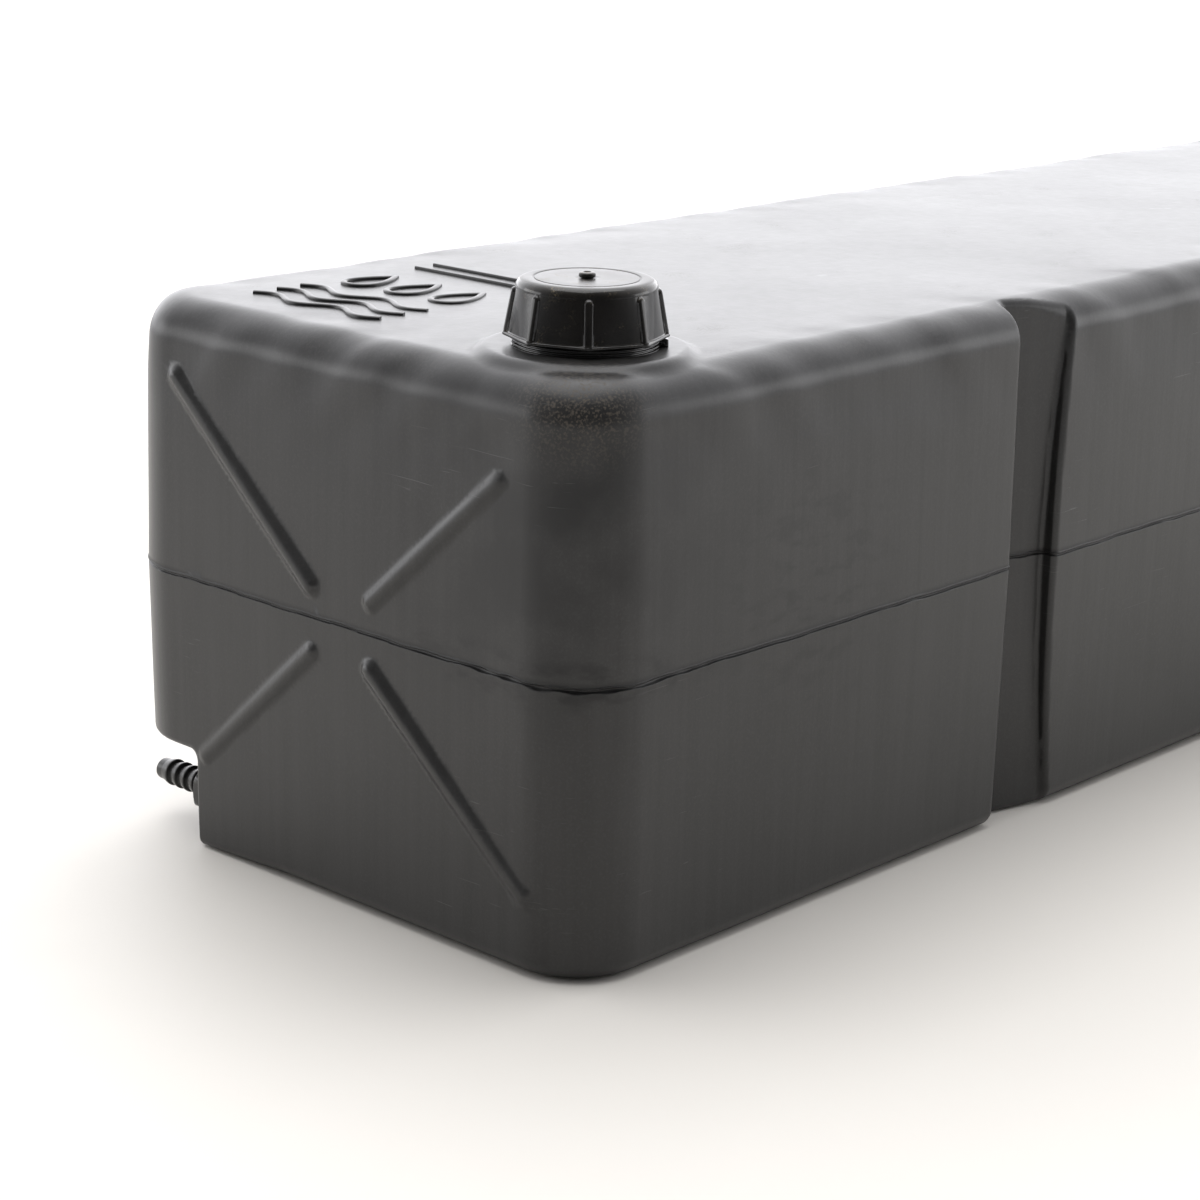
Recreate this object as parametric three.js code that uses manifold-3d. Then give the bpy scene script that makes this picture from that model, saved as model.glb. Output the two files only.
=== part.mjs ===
// Fresh water tank for a food truck: a long rotomoulded polyethylene tank with a screw cap
// on top and a barbed hose outlet in a corner recess.
//
// Millimetres, +Z up. The origin is the centre of the rectangle that the tank stands on.
// +X runs along the tank, away from the filler end. -Y is the filler side and +Y the outlet side.

import * as THREE from 'three';
import * as BufferGeometryUtils from 'three/addons/utils/BufferGeometryUtils.js';
import Module from 'manifold-3d';

const wasm = await Module();
wasm.setup();

// ---- Driving dimensions ----

const tank = {
  length: 1000,
  width: 300,
  height: 254,
  wall: 5,
  partingHeight: 130,   // the two mould halves meet here
  draft: 0.0127,        // how far each side leans in, per millimetre away from the parting line
  cornerRadius: 36,     // the four upright corners
  topRadius: 16,        // the edge round the top
  bottomRadius: 10,
  flash: 0.6,           // the moulding line stands this far proud
  flashHalfHeight: 0.9,
};

const channel = {       // a strap channel, measured from the end face that it is nearer to
  start: 291,           // its wall on that side
  width: 35,            // at the parting line
  flare: 9,             // extra width at the top and the bottom
  depth: 16,            // at its start
  floorSlope: 0.25,     // the floor rises towards the middle of the tank
  floorRadius: 4,
  nearLip: 3,           // rounding of the mouth
  farLip: 5,
};

const endRib = {        // stiffening ribs, four on each end face
  centreY: -5,
  centreZ: 128,
  innerY: 19,
  innerZ: 15,
  longY: 110,           // reach of the diagonal that rises towards the outlet side
  longZ: 92,
  shortY: 94,           // reach of the other diagonal
  shortZ: 82,
  longRadius: 8,        // each rib is a rod sunk into the face
  shortRadius: 6,
  longRise: 3,          // how far it stands out at its inner end
  shortRise: 2,
  drop: 1.2,            // how much lower its outer end is
};

const notch = {         // corner recess round the hose outlet
  length: 110,
  wallY: 96,
  ceiling: 46,
};

const filler = {
  x: -438.5,
  y: -89.5,
  holeRadius: 28.3,
  plateauHeight: 1.5,   // raised seat round the neck
  plateauRadius: 37,
  plateauFoot: 44,
};

const thread = {
  pitch: 6,
  neckCore: 26.6,
  neckCrest: 28.3,
  capCore: 29,
  capCrest: 27.3,
  rootWidth: 3.6,
  crestWidth: 2.2,
  embed: 0.4,           // how far a ridge reaches into its wall
  neckStart: 263.4,     // height of the neck ridge's lower end
  neckTurns: 1.6,
  capTurns: 1.3,
};

const neck = {
  boreRadius: 22.5,
  top: 279.8,
  collarRadius: 31,
  collarTop: 259.4,
  ringDepth: 1.4,       // depth of the two grooves round the collar
  flangeRadius: 33,
  flangeThickness: 3.5,
  lugReach: 34,
  lugWidth: 6,
  lugAngle: -47,
};

const cap = {
  rim: 260,
  rimHeight: 1.6,
  rimRadius: 34.8,      // to the corners of the eight-sided rim
  top: 284.2,
  footRadius: 32.9,
  shoulderRadius: 29.4,
  shoulderHeight: 280.2,
  crownRadius: 4,       // rounding between the shoulder and the top
  faceRadius: 22,       // flat disc in the middle of the crown
  ribs: 8,
  ribWidth: 3.6,
  ribHeight: 1.3,
  boreTaper: 274,       // above this height the bore narrows towards the crown
  sealSeat: 282.4,      // underside of the crown
};

const seal = { radius: 26.6, holeRadius: 6, thickness: 2 };

const vent = {
  buttonRadius: 3.5,
  buttonHeight: 2,
  filterLength: 3.5,
  stemRadius: 2.4,
  stemBottom: 280,
  boreRadius: 1.2,
};

const outlet = {
  x: -480,
  z: 22,
  insertRadius: 12,
  insertLength: 17,
  insertFront: 0.4,     // how far the insert stands out of the recess wall
  insertBore: 8.4,
  stopRadius: 6.5,      // bore of the stop at the insert's inner end
  stopLength: 3,
  waistStart: 3,        // a waist that the moulded boss grips, from the inner end
  waistLength: 5,
  waistDepth: 1.2,
  bossRadius: 19,
  bossDepth: 15,
  waterway: 3.6,
  shankRadius: 8,
  shankLength: 13,
  hexAcrossFlats: 22,
  hexStart: 3.5,        // distances from here on are out of the recess wall
  hexEnd: 11,
  stemRadius: 5,
  barbRadius: 6.4,
  barbs: 4,
  barbPitch: 6.3,
  tipRadius: 5,
  tipLength: 4,
  tipEnd: 46.5,
  ringRadius: 9.6,
  ringSection: 1.1,
};

const emblem = {        // raised waves, drops and rules on the top, near the outlet side
  x: -396,
  y: 58,
  rise: 1,
  lineWidth: 3,
  length: 84,           // of each wave and rule, across the tank
  waves: [-60, -46, -32],
  waveHeight: 4,
  drops: [-29, 0, 29],
  dropFoot: -16,
  dropRadius: 10,
  rules: [40, 52],
};

const gap = 0.3;        // between neighbouring pieces
const reach = 20;       // how far a cutter runs past the face that it cuts

// ---- Helpers ----

const radians = THREE.MathUtils.degToRad;

// An indexed geometry that holds only shared positions, without triangles that have collapsed.
function weld(geometry) {
  const bare = geometry.clone();
  bare.deleteAttribute('normal');
  bare.deleteAttribute('uv');
  const merged = BufferGeometryUtils.mergeVertices(bare, 1e-4);
  const index = merged.index.array;
  const kept = [];
  for (let i = 0; i < index.length; i += 3) {
    const [a, b, c] = [index[i], index[i + 1], index[i + 2]];
    if (a !== b && b !== c && c !== a) kept.push(a, b, c);
  }
  merged.setIndex(kept);
  return merged;
}

function solid(geometry) {
  const merged = weld(geometry);
  return new wasm.Manifold(new wasm.Mesh({
    numProp: 3,
    vertProperties: Float32Array.from(merged.attributes.position.array),
    triVerts: Uint32Array.from(merged.index.array),
  }));
}

function fromSolid(body) {
  const mesh = body.getMesh();
  const geometry = new THREE.BufferGeometry();
  geometry.setAttribute('position', new THREE.BufferAttribute(mesh.vertProperties, 3));
  geometry.setIndex(new THREE.BufferAttribute(mesh.triVerts, 1));
  geometry.computeVertexNormals();
  return geometry;
}

// Skins a stack of rings with equally many points. Each ring runs counter-clockwise seen
// from the last one, and both ends are closed flat.
function loft(rings) {
  const count = rings[0].length;
  const index = [];
  for (let level = 0; level + 1 < rings.length; level++) {
    for (let i = 0; i < count; i++) {
      const next = (i + 1) % count;
      const [a, b] = [level * count + i, level * count + next];
      index.push(a, b, b + count, a, b + count, a + count);
    }
  }
  const last = (rings.length - 1) * count;
  for (const [a, b, c] of capTriangles(rings[0])) index.push(a, c, b);
  for (const [a, b, c] of capTriangles(rings.at(-1))) index.push(last + a, last + b, last + c);
  const geometry = new THREE.BufferGeometry().setFromPoints(rings.flat());
  geometry.setIndex(index);
  return geometry;
}

// Triangles that fill a flat ring, in the ring's own turning sense.
function capTriangles(ring) {
  const normal = new THREE.Vector3();
  for (let i = 0; i < ring.length; i++) {
    normal.add(new THREE.Vector3().crossVectors(ring[i], ring[(i + 1) % ring.length]));
  }
  const turn = new THREE.Quaternion().setFromUnitVectors(normal.normalize(), new THREE.Vector3(0, 0, 1));
  const flat = ring.map((point) => {
    const turned = point.clone().applyQuaternion(turn);
    return new THREE.Vector2(turned.x, turned.y);
  });
  return THREE.ShapeUtils.triangulateShape(flat, []);
}

// A turned body about +Z from [radius, height] pairs.
function turned(profile, segments) {
  const points = profile.map(([radius, height]) => new THREE.Vector2(radius, height));
  const geometry = new THREE.LatheGeometry(points, segments);
  geometry.rotateX(Math.PI / 2);
  return geometry;
}

// Points on an arc about (u, v), from one angle to another in degrees.
function arc(u, v, radius, from, to, steps) {
  const points = [];
  for (let step = 0; step <= steps; step++) {
    const angle = radians(from + (to - from) * step / steps);
    points.push([u + radius * Math.cos(angle), v + radius * Math.sin(angle)]);
  }
  return points;
}

// ---- Tank shell ----

// How far the drafted sides lie inside the moulding line.
function lean(height) {
  return tank.flash + tank.draft * Math.abs(height - tank.partingHeight);
}

// The tank's outline at one height, a rounded rectangle pulled in by inset.
function tankRing(inset, height) {
  const steps = 6;
  const radius = tank.cornerRadius - inset;
  const x = tank.length / 2 - tank.cornerRadius;
  const y = tank.width / 2 - tank.cornerRadius;
  const corners = [
    ...arc(x, y, radius, 0, 90, steps),
    ...arc(-x, y, radius, 90, 180, steps),
    ...arc(-x, -y, radius, 180, 270, steps),
    ...arc(x, -y, radius, 270, 360, steps),
  ];
  return corners.map(([u, v]) => new THREE.Vector3(u, v, height));
}

// The whole outside of the tank, or with a depth the inside of a wall that thick.
function tankSkin(depth) {
  const edgeSteps = 4;
  const lower = tank.bottomRadius - depth;
  const upper = tank.topRadius - depth;
  const rings = [];
  for (const [out, rise] of arc(0, 0, lower, -90, 0, edgeSteps)) {
    const height = depth + lower + rise;
    rings.push(tankRing(depth + lean(height) + lower - out, height));
  }
  const { partingHeight, flash, flashHalfHeight } = tank;
  if (depth === 0) {
    rings.push(tankRing(flash, partingHeight - flashHalfHeight));
    rings.push(tankRing(0, partingHeight));
    rings.push(tankRing(flash, partingHeight + flashHalfHeight));
  } else {
    rings.push(tankRing(depth + flash, partingHeight));
  }
  for (const [out, rise] of arc(0, 0, upper, 0, 90, edgeSteps)) {
    const height = tank.height - depth - upper + rise;
    rings.push(tankRing(depth + lean(height) + upper - out, height));
  }
  return loft(rings);
}

// Cutter for the strap channel at the filler end, filler side. With grow it is the channel
// seen from inside a wall of that thickness.
function channelCutter(grow) {
  const levels = 8;
  const margin = 6;
  const steps = 3;
  const side = -tank.width / 2;
  const low = -margin;
  const high = tank.height + margin;
  const nearLip = Math.max(channel.nearLip - grow, 0.2);
  const farLip = Math.max(channel.farLip - grow, 0.2);
  const floorRadius = channel.floorRadius + grow;
  const start = channel.start - grow;
  const rings = [];
  for (let level = 0; level <= levels; level++) {
    const height = low + (high - low) * level / levels;
    const share = (height - tank.partingHeight) / (tank.height / 2);
    const end = channel.start + channel.width + channel.flare * share * share + grow;
    const near = channel.depth + grow;
    const far = near - channel.floorSlope * (end - start - 2 * floorRadius);
    const lean = THREE.MathUtils.radToDeg(Math.atan(channel.floorSlope));
    const outline = [
      [start - nearLip, -reach],
      [end + farLip, -reach],
      ...arc(end + farLip, farLip, farLip, -90, -180, steps),
      ...arc(end - floorRadius, far - floorRadius, floorRadius, 0, 90 - lean, steps),
      ...arc(start + floorRadius, near - floorRadius, floorRadius, 90 - lean, 180, steps),
      ...arc(start - nearLip, nearLip, nearLip, 0, -90, steps),
    ];
    rings.push(outline.map(([u, v]) => new THREE.Vector3(u - tank.length / 2, side + v, height)));
  }
  return loft(rings);
}

// One stiffening rib at the filler end. signY and signZ pick the quarter.
function ribRod(signY, signZ) {
  const long = signY === signZ;
  const radius = long ? endRib.longRadius : endRib.shortRadius;
  const rise = long ? endRib.longRise : endRib.shortRise;
  const axisPoint = (awayY, awayZ, above) => {
    const height = endRib.centreZ + signZ * awayZ;
    const x = -tank.length / 2 + lean(height) + radius - above;
    return new THREE.Vector3(x, endRib.centreY + signY * awayY, height);
  };
  const inner = axisPoint(endRib.innerY, endRib.innerZ, rise);
  const reachY = long ? endRib.longY : endRib.shortY;
  const reachZ = long ? endRib.longZ : endRib.shortZ;
  const along = axisPoint(reachY, reachZ, rise - endRib.drop).sub(inner);
  const geometry = turned([
    ...arc(0, 0, radius, -90, 0, 3),
    ...arc(0, along.length(), radius, 0, 90, 3),
  ], 20);
  const turn = new THREE.Quaternion().setFromUnitVectors(new THREE.Vector3(0, 0, 1), along.normalize());
  geometry.applyQuaternion(turn);
  return geometry.translate(inner.x, inner.y, inner.z);
}

function endRibs() {
  const rods = [];
  for (const signY of [-1, 1]) {
    for (const signZ of [-1, 1]) {
      const rod = solid(ribRod(signY, signZ));
      rods.push(rod, rod.mirror([1, 0, 0]));
    }
  }
  return wasm.Manifold.union(rods);
}

// Cutter for the corner recess: an outline across the tank, extruded along it.
function notchCutter(grow) {
  const outside = tank.width / 2 + reach;
  const wallY = notch.wallY - grow;
  const ceiling = notch.ceiling + grow;
  const outline = [
    [wallY, -reach],
    [outside, -reach],
    [outside, ceiling],
    [wallY, ceiling],
  ];
  const start = -tank.length / 2 - reach;
  const end = -tank.length / 2 + notch.length + grow;
  const ring = (x) => outline.map(([y, z]) => new THREE.Vector3(x, y, z));
  return loft([ring(start), ring(end)]);
}

// Everything that dents the tank's skin: the channels and the corner recess.
function dents(grow) {
  const quarter = solid(channelCutter(grow));
  const half = quarter.add(quarter.mirror([0, 1, 0]));
  return half.add(half.mirror([1, 0, 0])).add(solid(notchCutter(grow)));
}

function fillerPlateau() {
  const foot = tank.height - tank.wall / 2;
  const top = tank.height + filler.plateauHeight;
  const geometry = turned([
    [0, foot],
    [filler.plateauFoot, foot],
    [filler.plateauFoot, tank.height - 0.5],
    [filler.plateauRadius, top],
    [0, top],
  ], 40);
  return geometry.translate(filler.x, filler.y, 0);
}

function fillerHole() {
  const geometry = new THREE.CylinderGeometry(filler.holeRadius, filler.holeRadius, 2 * reach, 40);
  geometry.rotateX(Math.PI / 2);
  return geometry.translate(filler.x, filler.y, tank.height);
}

// A cylinder along the outlet's axis, between two distances out of the recess wall.
function outletCylinder(radius, from, to, segments) {
  const geometry = new THREE.CylinderGeometry(radius, radius, to - from, segments);
  return geometry.translate(outlet.x, notch.wallY + (from + to) / 2, outlet.z);
}

// A raised line of even width that follows a curve on the tank's top.
function raisedLine(curve, divisions, width) {
  const left = [];
  const right = [];
  for (let i = 0; i <= divisions; i++) {
    const point = curve.getPoint(i / divisions);
    const tangent = curve.getTangent(i / divisions);
    const side = new THREE.Vector2(-tangent.y, tangent.x).multiplyScalar(width / 2);
    left.push(point.clone().add(side));
    right.unshift(point.clone().sub(side));
  }
  return new THREE.Shape([...left, ...right]);
}

// A water drop that stands on (u, v).
function dropOutline(Outline, u, v, radius) {
  const outline = new Outline();
  outline.moveTo(u, v + 3.4 * radius);
  outline.quadraticCurveTo(u - radius, v + 2 * radius, u - radius, v + radius);
  outline.absarc(u, v + radius, radius, Math.PI, 2 * Math.PI, false);
  outline.quadraticCurveTo(u + radius, v + 2 * radius, u, v + 3.4 * radius);
  return outline;
}

function emblemShapes() {
  const { length, lineWidth, waveHeight, dropFoot, dropRadius } = emblem;
  const shapes = [];
  for (const middle of emblem.waves) {
    const points = [];
    for (let step = 0; step <= 12; step++) {
      const swing = waveHeight * Math.sin(Math.PI * step / 3);
      points.push(new THREE.Vector2(length * (step / 12 - 0.5), middle + swing));
    }
    shapes.push(raisedLine(new THREE.SplineCurve(points), 24, lineWidth));
  }
  for (const middle of emblem.drops) {
    const drop = dropOutline(THREE.Shape, middle, dropFoot, dropRadius);
    drop.holes.push(dropOutline(THREE.Path, middle, dropFoot + lineWidth, dropRadius - lineWidth));
    shapes.push(drop);
  }
  for (const middle of emblem.rules) {
    const ends = [new THREE.Vector2(-length / 2, middle), new THREE.Vector2(length / 2, middle)];
    shapes.push(raisedLine(new THREE.LineCurve(...ends), 1, lineWidth / 2));
  }
  return shapes;
}

function tankShell() {
  const outside = solid(tankSkin(0)).subtract(dents(0));
  const inside = solid(tankSkin(tank.wall)).subtract(dents(tank.wall));
  const boss = solid(outletCylinder(outlet.bossRadius, -outlet.bossDepth, -tank.wall / 2, 24));
  const emboss = new THREE.ExtrudeGeometry(emblemShapes(), {
    depth: emblem.rise + tank.wall / 2,
    bevelEnabled: false,
    curveSegments: 6,
  });
  emboss.rotateZ(-Math.PI / 2);
  emboss.translate(emblem.x, emblem.y, tank.height - tank.wall / 2);
  return outside
    .add(endRibs())
    .add(solid(fillerPlateau()))
    .add(solid(emboss))
    .subtract(inside)
    .add(boss.intersect(solid(tankSkin(tank.wall / 2))))
    .subtract(solid(fillerHole()))
    .subtract(solid(outletCylinder(outlet.insertRadius + gap, -2 * reach, reach, 32)));
}

// ---- Screw thread ----

// One helical ridge about +Z. It rises anticlockwise, as a right-hand thread does.
function threadRidge(wallRadius, crestRadius, startHeight, turns) {
  const stepsPerTurn = 30;
  const steps = Math.round(turns * stepsPerTurn);
  const inward = Math.sign(wallRadius - crestRadius);
  const buried = wallRadius + inward * thread.embed;
  const rings = [];
  for (let step = 0; step <= steps; step++) {
    const angle = 2 * Math.PI * step / stepsPerTurn;
    const middle = startHeight + thread.pitch * step / stepsPerTurn;
    const taper = Math.min(step, steps - step, 3) / 3;
    const crest = wallRadius + (crestRadius - wallRadius) * (0.15 + 0.85 * taper);
    const section = [
      [buried, middle - thread.rootWidth / 2],
      [crest, middle - thread.crestWidth / 2],
      [crest, middle + thread.crestWidth / 2],
      [buried, middle + thread.rootWidth / 2],
    ];
    if (inward > 0) section.reverse();
    const across = (radius) => [radius * Math.cos(angle), radius * Math.sin(angle)];
    rings.push(section.map(([radius, height]) => new THREE.Vector3(...across(radius), height)).reverse());
  }
  return loft(rings);
}

// ---- Filler neck ----

function fillerNeck() {
  const roof = tank.height - tank.wall;
  const seat = tank.height + filler.plateauHeight + gap;
  const { boreRadius, collarRadius, collarTop, ringDepth, flangeRadius, flangeThickness, top } = neck;
  const ring = (collarTop - seat) / 5;
  const collar = [];
  for (let step = 0; step < 5; step++) {
    const radius = step % 2 === 0 ? collarRadius : collarRadius - ringDepth;
    collar.push([radius, seat + step * ring], [radius, seat + (step + 1) * ring]);
  }
  const body = turned([
    [boreRadius, roof - gap - flangeThickness],
    [flangeRadius, roof - gap - flangeThickness],
    [flangeRadius, roof - gap],
    [filler.holeRadius - gap, roof - gap],
    [filler.holeRadius - gap, seat],
    ...collar,
    [thread.neckCore, collarTop],
    [thread.neckCore, top - 1],
    [thread.neckCore - 1, top],
    [boreRadius, top],
    [boreRadius, roof - gap - flangeThickness],
  ], 40);
  const lug = new THREE.BoxGeometry(neck.lugReach - collarRadius + 3, neck.lugWidth, collarTop - seat);
  lug.translate((neck.lugReach + collarRadius - 3) / 2, 0, (collarTop + seat) / 2);
  lug.rotateZ(radians(neck.lugAngle));
  const ridge = threadRidge(thread.neckCore, thread.neckCrest, thread.neckStart, thread.neckTurns);
  return solid(body).add(solid(lug)).add(solid(ridge));
}

// ---- Cap, seal and vent ----

// Angles round the cap: each rib's two edges, and even steps between the ribs.
function capAngles() {
  const between = 4;
  const angles = [];
  for (let rib = 0; rib < cap.ribs; rib++) {
    const middle = 360 / cap.ribs * rib;
    const half = THREE.MathUtils.radToDeg(cap.ribWidth / 2 / cap.footRadius);
    const span = 360 / cap.ribs - 2 * half;
    angles.push([middle - half, false], [middle - half + 0.4, true], [middle, true]);
    angles.push([middle + half - 0.4, true], [middle + half, false]);
    for (let step = 1; step < between; step++) {
      angles.push([middle + half + span * step / between, false]);
    }
  }
  return angles;
}

function capRing(radius, height, ribHeight) {
  return capAngles().map(([degree, onRib]) => {
    const distance = radius + (onRib ? ribHeight : 0);
    const angle = radians(degree);
    return new THREE.Vector3(distance * Math.cos(angle), distance * Math.sin(angle), height);
  });
}

// The rim's eight straight sides meet at the ribs.
function capRimRing(cornerRadius, height) {
  const pitch = 360 / cap.ribs;
  return capAngles().map(([degree]) => {
    const offMiddle = ((degree % pitch) + pitch) % pitch - pitch / 2;
    const distance = cornerRadius * Math.cos(radians(pitch / 2)) / Math.cos(radians(offMiddle));
    const angle = radians(degree);
    return new THREE.Vector3(distance * Math.cos(angle), distance * Math.sin(angle), height);
  });
}

// The foot of the cap's side: round at the ribs and flattened along the rim's sides between them.
function capFootRing(height) {
  const round = capRing(cap.footRadius, height, cap.ribHeight);
  const rim = capRimRing(cap.rimRadius - 0.4, height);
  const centre = new THREE.Vector3(0, 0, height);
  return round.map((point, i) => (point.distanceTo(centre) < rim[i].distanceTo(centre) ? point : rim[i]));
}

function fillerCap() {
  const rimTop = cap.rim + cap.rimHeight;
  const crownBase = cap.shoulderRadius - cap.crownRadius;
  const crown = arc(crownBase, cap.top - cap.crownRadius, cap.crownRadius, 12, 84, 4);
  const outside = solid(loft([
    capRimRing(cap.rimRadius - 0.4, cap.rim),
    capRimRing(cap.rimRadius, cap.rim + 0.4),
    capRimRing(cap.rimRadius, rimTop),
    capFootRing(rimTop + 0.3),
    capRing(cap.shoulderRadius, cap.shoulderHeight, cap.ribHeight),
    ...crown.map(([radius, height]) => capRing(radius, height, 0)),
    capRing(cap.faceRadius, cap.top, 0),
  ]));
  const bore = solid(turned([
    [0, cap.rim - reach],
    [thread.capCore + 0.8, cap.rim - reach],
    [thread.capCore + 0.8, cap.rim + 0.4],
    [thread.capCore, cap.rim + 1.2],
    [thread.capCore, cap.boreTaper],
    [seal.radius + 1, cap.shoulderHeight],
    [seal.radius + gap, cap.shoulderHeight + 1],
    [seal.radius + gap, cap.sealSeat],
    [0, cap.sealSeat],
  ], 48));
  const ventHole = new THREE.CylinderGeometry(vent.stemRadius + gap, vent.stemRadius + gap, reach, 20);
  ventHole.rotateX(Math.PI / 2);
  ventHole.translate(0, 0, cap.top);
  const ridgeStart = thread.neckStart + thread.pitch / 2;
  const ridge = solid(threadRidge(thread.capCore, thread.capCrest, ridgeStart, thread.capTurns));
  return outside.subtract(bore).add(ridge).subtract(solid(ventHole));
}

function capSeal() {
  const base = neck.top + gap;
  return solid(turned([
    [seal.holeRadius, base],
    [seal.radius, base],
    [seal.radius, base + seal.thickness],
    [seal.holeRadius, base + seal.thickness],
    [seal.holeRadius, base],
  ], 40));
}

function ventPlug() {
  const face = cap.top + gap;
  return solid(turned([
    [vent.boreRadius + gap, vent.stemBottom],
    [vent.stemRadius, vent.stemBottom],
    [vent.stemRadius, face],
    [vent.buttonRadius, face],
    [vent.buttonRadius, face + vent.buttonHeight * 0.5],
    [vent.buttonRadius * 0.85, face + vent.buttonHeight * 0.8],
    [vent.buttonRadius * 0.55, face + vent.buttonHeight],
    [vent.boreRadius + gap, face + vent.buttonHeight],
    [vent.boreRadius + gap, vent.stemBottom],
  ], 20));
}

function ventFilter() {
  const top = cap.top + gap + vent.buttonHeight;
  return solid(turned([
    [0, top - vent.filterLength],
    [vent.boreRadius, top - vent.filterLength],
    [vent.boreRadius, top - 0.4],
    [0, top - 0.2],
  ], 16));
}

// ---- Outlet ----

// A turned body along the outlet's axis, from [radius, distance out of the recess wall] pairs.
function outletTurned(profile, segments) {
  const geometry = turned(profile, segments);
  geometry.rotateX(-Math.PI / 2);
  return geometry.translate(outlet.x, notch.wallY, outlet.z);
}

function outletInsert() {
  const { insertRadius, insertFront: front, insertBore, stopRadius, waistDepth } = outlet;
  const back = front - outlet.insertLength;
  const stop = back + outlet.stopLength;
  const waist = back + outlet.waistStart;
  const waistEnd = waist + outlet.waistLength;
  return solid(outletTurned([
    [stopRadius, back],
    [insertRadius, back],
    [insertRadius, waist],
    [insertRadius - waistDepth, waist + 1],
    [insertRadius - waistDepth, waistEnd - 1],
    [insertRadius, waistEnd],
    [insertRadius, front],
    [insertBore, front],
    [insertBore, stop],
    [stopRadius, stop],
    [stopRadius, back],
  ], 32));
}

function outletORing() {
  const geometry = new THREE.TorusGeometry(outlet.ringRadius, outlet.ringSection, 8, 28);
  geometry.rotateX(Math.PI / 2);
  const middle = outlet.insertFront + gap + outlet.ringSection;
  return solid(geometry.translate(outlet.x, notch.wallY + middle, outlet.z));
}

function outletHoseTail() {
  const { stemRadius, barbRadius, barbPitch, barbs, tipRadius, tipEnd, hexEnd, hexStart } = outlet;
  const profile = [
    [0, -outlet.shankLength],
    [outlet.shankRadius - 0.8, -outlet.shankLength],
    [outlet.shankRadius, -outlet.shankLength + 0.8],
    [outlet.shankRadius, hexStart + 1],
    [stemRadius, hexStart + 1],
  ];
  const firstBarb = tipEnd - outlet.tipLength - barbs * barbPitch;
  for (let barb = 0; barb < barbs; barb++) {
    const start = firstBarb + barb * barbPitch;
    profile.push([stemRadius, start]);
    profile.push([barbRadius, start + 0.6]);
    profile.push([barbRadius, start + 1.6]);
    profile.push([stemRadius + 0.2, start + barbPitch - 0.6]);
  }
  profile.push([tipRadius, tipEnd - 0.8], [tipRadius - 0.7, tipEnd], [0, tipEnd]);
  const hexRadius = outlet.hexAcrossFlats / Math.sqrt(3);
  return solid(outletTurned(profile, 28))
    .add(solid(outletCylinder(hexRadius, hexStart, hexEnd, 6)))
    .subtract(solid(outletCylinder(outlet.waterway, -reach, tipEnd + reach, 20)));
}

// ---- Assembly ----

const looks = {
  polyethylene: { color: 0x4a4a4b, roughness: 0.45, metalness: 0 },
  blackPlastic: { color: 0x141414, roughness: 0.2, metalness: 0 },
  rubber: { color: 0x1b1b1b, roughness: 0.8, metalness: 0 },
  sintered: { color: 0x9b8363, roughness: 0.9, metalness: 0 },
  brass: { color: 0xb08d4a, roughness: 0.35, metalness: 1 },
};

function piece(name, body, look) {
  const mesh = new THREE.Mesh(fromSolid(body), new THREE.MeshStandardMaterial(look));
  mesh.name = name;
  return mesh;
}

const closure = new THREE.Group();
closure.position.set(filler.x, filler.y, 0);
closure.add(piece('filler_neck', fillerNeck(), looks.blackPlastic));
closure.add(piece('filler_cap', fillerCap(), looks.blackPlastic));
closure.add(piece('cap_seal', capSeal(), looks.rubber));
closure.add(piece('vent_plug', ventPlug(), looks.blackPlastic));
closure.add(piece('vent_filter', ventFilter(), looks.sintered));

const group = new THREE.Group();
group.add(piece('tank_shell', tankShell(), looks.polyethylene));
group.add(closure);
group.add(piece('outlet_insert', outletInsert(), looks.brass));
group.add(piece('outlet_o_ring', outletORing(), looks.rubber));
group.add(piece('outlet_hose_tail', outletHoseTail(), looks.blackPlastic));

export default group;
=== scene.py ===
# The looks of a long rotomoulded water tank with a ribbed screw cap and a barbed hose tail.
#
# Metres, in the model's own frame: +X runs along the tank, away from the filler, and +Z is up.
# The tank's skin and the turned pieces are worked out in millimetres and scaled at the end.

import math

import bmesh
import bpy
import numpy as np
from mathutils import Matrix, Vector


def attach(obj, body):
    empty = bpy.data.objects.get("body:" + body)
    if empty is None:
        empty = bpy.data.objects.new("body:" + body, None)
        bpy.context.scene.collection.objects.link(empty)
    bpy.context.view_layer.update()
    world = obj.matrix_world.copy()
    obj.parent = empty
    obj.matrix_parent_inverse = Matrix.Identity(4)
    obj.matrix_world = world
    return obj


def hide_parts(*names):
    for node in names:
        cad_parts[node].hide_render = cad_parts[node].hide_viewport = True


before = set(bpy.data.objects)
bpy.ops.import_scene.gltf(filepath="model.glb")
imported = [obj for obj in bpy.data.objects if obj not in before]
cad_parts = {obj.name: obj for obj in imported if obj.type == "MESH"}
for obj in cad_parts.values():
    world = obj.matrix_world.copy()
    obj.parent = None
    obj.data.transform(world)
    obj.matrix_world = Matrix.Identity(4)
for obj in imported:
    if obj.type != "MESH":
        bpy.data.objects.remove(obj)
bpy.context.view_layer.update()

MM = 0.001

# ---- Tank, in millimetres ----

LENGTH = 1000
WIDTH = 300
HEIGHT = 254
WALL = 5
PARTING = 130
DRAFT = 0.0127
CORNER = 36
TOP_EDGE = 19
BOTTOM_EDGE = 9
FOOT_EDGE = 4  # the bottom edge beside the outlet recess
FOOT_HOLD = 1.3  # how far the sharper bottom edge holds, in shares of FOOT_REACH
FOOT_REACH = 45

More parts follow.
